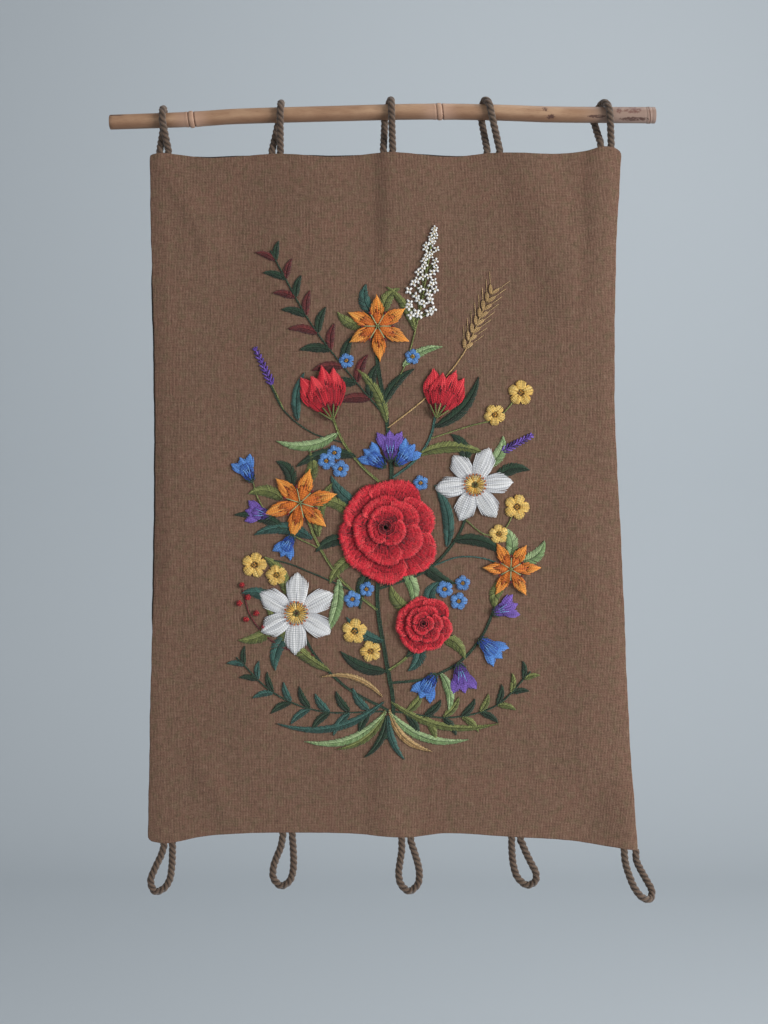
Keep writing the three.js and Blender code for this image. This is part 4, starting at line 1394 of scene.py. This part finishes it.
def fan(work, centre, angle, spread, inner, outer, shades, low, lift):
    """A broad petal over padding: its rim is raised by lift, and one side lies over the next petal; painted
    shade darkens the side that lies under its neighbour, and the side that lies over is made a little
    lighter.
    """

    def place(across, out):
        rim = outer * (1 - 0.2 * abs(2 * across) ** 3 + 0.03 * math.cos(9 * across + angle))
        return centre + (inner + (rim - inner) * out) * np.exp(1j * (angle + spread * across))

    def height(across, out):
        return low + lift * out**1.5 + 0.7 * across

    arc = spread * outer
    rings = max(3, round((outer - inner) / 4))
    for ring in range(rings):
        out = (ring + 0.6) / rings * 0.94
        parts = max(2, round(arc * (0.4 + 0.6 * out) / 14))
        for part in range(parts):
            ends = [(part + end) / parts * 0.94 - 0.47 for end in (0, 1)]
            padding = between(shades, 0.2 + 0.5 * out)
            levels = [height(end, out) - 1.2 for end in ends]
            run(work, lambda t, o=out: place(t, o), *ends, padding, 4.6, levels, 0.4)
    count = round(arc / PITCH)
    for k in range(count):
        across = (k + 0.5) / count - 0.5
        # Painted shade on the side of the petal that lies under its neighbour; the side that lies over is
        # made a little lighter.
        under = 0.6 * float(smooth((-across - 0.1) / 0.4)) - 0.15 * float(smooth((across - 0.3) / 0.2))
        out = 1 + hand.uniform(-0.03, 0.02)
        cut = hand.choice((0.28, 0.42))
        while out > 0.1:
            near = max(out - cut * hand.uniform(0.85, 1.15), 0)
            if not (k % 2 and out < 0.42):
                mid = (near + out) / 2
                shade = between(shades, mid**1.6 * 1.15 - under + hand.uniform(-0.15, 0.15))
                levels = (height(across, near), height(across, out) - 0.5 * (out > 0.95))
                run(work, lambda t, a=across: place(a, t), near, out, shade, STITCH_WIDTH, levels, 0.5)
            out = near + 0.04
            cut = 0.38


def rose(work, centre, size, turn, low):
    """A full rose: three rings of broad petals round a wound heart that lies a little off centre."""
    for k in range(6):
        angle = turn + k * math.pi / 3 + hand.uniform(-0.12, 0.12)
        reach = size * hand.uniform(0.9, 1.05)
        fan(work, centre, angle, 1.4, size * 0.42, reach, CRIMSON, low, 1.7)
    centre += size * complex(-0.02, 0.04)
    for k in range(5):
        angle = turn + 0.4 + k * math.tau / 5 + hand.uniform(-0.14, 0.14)
        reach = size * hand.uniform(0.64, 0.73)
        fan(work, centre, angle, 1.6, size * 0.2, reach, CRIMSON, low + 1.7, 1.8)
    centre += size * complex(-0.03, 0.04)
    for k in range(3):
        angle = turn + 1.1 + k * math.tau / 3
        reach = size * hand.uniform(0.36, 0.43)
        fan(work, centre, angle, 2.4, size * 0.05, reach, CRIMSON, low + 3.2, 1.5)
    for k in range(14):
        reach = size * (0.03 + 0.012 * k)
        ends = [centre + reach * np.exp(1j * (0.9 * k + step)) for step in (0, 1.1)]
        shade = between(CRIMSON, 0.05 + 0.04 * k)
        stitch(work, *ends, shade, 1.4, (low + 4.4, low + 4.4), 0.5, -reach * 0.15)


def narcissus(work, centre, size, turn, low):
    """Six broad white petals round a short golden trumpet with an orange rim."""
    for k in (0, 2, 4, 1, 3, 5):
        way = np.exp(1j * (turn + k * math.pi / 3 + hand.uniform(-0.05, 0.05)))
        base = centre + way * size * 0.16
        tip = centre + way * size * hand.uniform(0.95, 1.05)
        raised = low + 0.6 * (k % 2)
        petal(work, base, tip, size * 0.62, WHITE, raised, 1.0, 0.4, 0.3, 0.6)
        stitch(work, base, centre + way * size * 0.7, WHITE[0], 0.8, (raised + 1.2, raised + 1.3), 0.3)
    for k in range(26):
        way = np.exp(2j * math.pi * k / 26)
        shade = between(YELLOW, hand.random())
        ends = (centre + way * size * 0.07, centre + way * size * 0.27)
        stitch(work, *ends, shade, 1.4, (low + 1.4, low + 3.2), 0.4)
    for k in range(18):
        knot(work, centre + size * 0.28 * np.exp(2j * math.pi * k / 18), 2.0, ORANGE[k % 2], low + 2.8)
    for k in range(5):
        knot(work, centre + size * 0.06 * np.exp(2j * math.pi * k / 5), 1.8, OLIVE_GREEN[1], low + 1.8)


def lily(work, centre, size, turn, low):
    """Six pointed orange petals with dark freckles, and stamens that stand out over them."""
    for k in (0, 2, 4, 1, 3, 5):
        way = np.exp(1j * (turn + k * math.pi / 3 + hand.uniform(-0.06, 0.06)))
        tip = centre + way * size * hand.uniform(0.94, 1.06)
        raised = low + 0.8 * (k % 2)
        petal(work, centre + way * 2, tip, size * 0.44, ORANGE, raised, 1.1, 0.45, 0.5, 0.95, 2)
        ends = (centre + way * size * 0.2, centre + way * size * 0.78)
        stitch(work, *ends, ORANGE[0], 0.9, (raised + 1.2, raised + 1.1))
        for n in range(4):
            spot = centre + way * size * (0.26 + 0.1 * n) + way * 1j * hand.uniform(-2.4, 2.4)
            stitch(work, spot, spot + way * 1.6, WINE, 0.8, (raised + 1.4, raised + 1.4), 0.3)
    for k in range(6):
        way = np.exp(1j * (turn + 0.5 + k * math.pi / 3))
        stitch(work, centre, centre + way * size * 0.42, LIGHT_GREEN[1], 0.9, (low + 2.4, low + 2.6), 0.6)
        anther = (centre + way * size * 0.4, centre + way * size * 0.5)
        stitch(work, *anther, WINE, 1.9, (low + 2.8, low + 2.6), 0.6)
    knot(work, centre, 2.8, OLIVE_GREEN[1], low + 2.6)


TULIP_PETALS = [  # how far it leans, its length and width as shares of the size, how high it lies
    (-0.34, 0.94, 0.46, 0),
    (0.34, 0.97, 0.46, 0.3),
    (-0.12, 1.0, 0.4, 1.1),
    (0.14, 0.88, 0.44, 1.9),
]


def tulip(work, foot, way, size, low):
    """A red tulip from the side: two outer petals, two that lap between them, and its calyx."""
    for bend, reach, width, raised in TULIP_PETALS:
        tip = foot + way * np.exp(1j * bend) * size * reach
        base = foot + way * 1j * bend * 4
        petal(work, base, tip, size * width, CRIMSON, low + raised, 1.2, 0.18, 0.3, 0.8, 3)
        crease = (base + (tip - base) * 0.3, tip - (tip - base) * 0.1)
        over = low + raised + 1.3
        stitch(work, *crease, CRIMSON[0], 0.9, (over, over))
    for bend in (-0.8, -0.4, 0, 0.4, 0.8):
        tip = foot + way * np.exp(1j * bend) * size * 0.28
        green = between(OLIVE_GREEN, hand.random())
        stitch(work, foot - way * 2, tip, green, 1.9, (low + 2.4, low + 4.0), 0.5)


blooms = []
for x, z, size, turn in NARCISSI:
    narcissus(blooms, complex(x, z), size, turn, 1.3)
for x, z, size, turn in LILIES:
    lily(blooms, complex(x, z), size, turn, 1.3)
sew("embroidered_blooms", blooms)

red = []
for x, z, lean, size in TULIPS:
    tulip(red, complex(x, z), 1j * np.exp(-1j * lean), size, 1.2)
for x, z, size, turn in ROSES:
    rose(red, complex(x, z), size, turn, 1.6)
sew("embroidered_red_flowers", red)

# Studio. A pale blue-grey sweep runs from the floor up behind the hanging, far enough back
# to be seen round; a large soft lamp stands to the right in front, a weaker one to the left.
SWEEP_TONE = colour(184, 191, 196)
FLOOR_Z = -1.55
SWEEP_HALF_WIDTH = 6.0
SWEEP_FRONT_Y = -5.0
SWEEP_BACK_Y = 3.0
SWEEP_RADIUS = 1.3
SWEEP_TOP_Z = 5.0
SWEEP_STEPS = 24
LAMPS = [  # name, x, y, z, size, watts
    ("key_lamp", 3.0, -1.8, -0.1, 1.6, 152),
    ("fill_lamp", -2.4, -2.2, -0.2, 2.4, 23),
    ("wall_lamp", 1.2, 0.7, 1.8, 2.2, 62),
]

bpy.ops.object.select_all(action="DESELECT")
bpy.ops.mesh.primitive_plane_add(size=1, location=(0, 0, FLOOR_Z))
sweep = bpy.context.object
sweep.name = "studio_sweep"
bpy.ops.object.transform_apply(location=True, rotation=True, scale=True)
profile = [(SWEEP_FRONT_Y, FLOOR_Z)]
for k in range(SWEEP_STEPS + 1):
    turn = math.pi / 2 * k / SWEEP_STEPS
    rise = SWEEP_RADIUS * (1 - math.cos(turn))
    profile.append((SWEEP_BACK_Y + SWEEP_RADIUS * math.sin(turn), FLOOR_Z + rise))
profile.append((SWEEP_BACK_Y + SWEEP_RADIUS, SWEEP_TOP_Z))
for vertex in sweep.data.vertices:
    far = vertex.co.y > 0
    vertex.co.x = math.copysign(SWEEP_HALF_WIDTH, vertex.co.x)
    vertex.co.y, vertex.co.z = profile[1] if far else profile[0]
    vertex.select = far
for edge in sweep.data.edges:
    edge.select = all(sweep.data.vertices[i].select for i in edge.vertices)
for face in sweep.data.polygons:
    face.select = False
bpy.ops.object.mode_set(mode="EDIT")
bpy.ops.mesh.select_mode(type="EDGE")
for (y, z), (next_y, next_z) in zip(profile[1:], profile[2:]):
    bpy.ops.mesh.extrude_region_move(TRANSFORM_OT_translate={"value": (0, next_y - y, next_z - z)})
bpy.ops.mesh.select_all(action="SELECT")
bpy.ops.mesh.normals_make_consistent(inside=False)
bpy.ops.object.mode_set(mode="OBJECT")
bpy.ops.object.shade_smooth()
paper = bpy.data.materials.new("studio_paper")
paper.use_nodes = True
paper.node_tree.nodes["Principled BSDF"].inputs["Base Color"].default_value = SWEEP_TONE
paper.node_tree.nodes["Principled BSDF"].inputs["Roughness"].default_value = 1.0
sweep.data.materials.append(paper)

for name, x, y, z, size, watts in LAMPS:
    lamp = bpy.data.lights.new(name, "AREA")
    lamp.size = size
    lamp.energy = watts
    stand = bpy.data.objects.new(name, lamp)
    bpy.context.scene.collection.objects.link(stand)
    stand.location = (x, y, z)
    aim = np.array([0, 4.0 if name == "wall_lamp" else 0, LOOKS_AT_Z * MM]) - (x, y, z)
    stand.rotation_mode = "QUATERNION"
    stand.rotation_quaternion = Vector(aim).to_track_quat("-Z", "Y")

world = bpy.data.worlds.new("studio_air")
bpy.context.scene.world = world
world.use_nodes = True
world.node_tree.nodes["Background"].inputs["Color"].default_value = colour(216, 220, 225)
world.node_tree.nodes["Background"].inputs["Strength"].default_value = 0.4
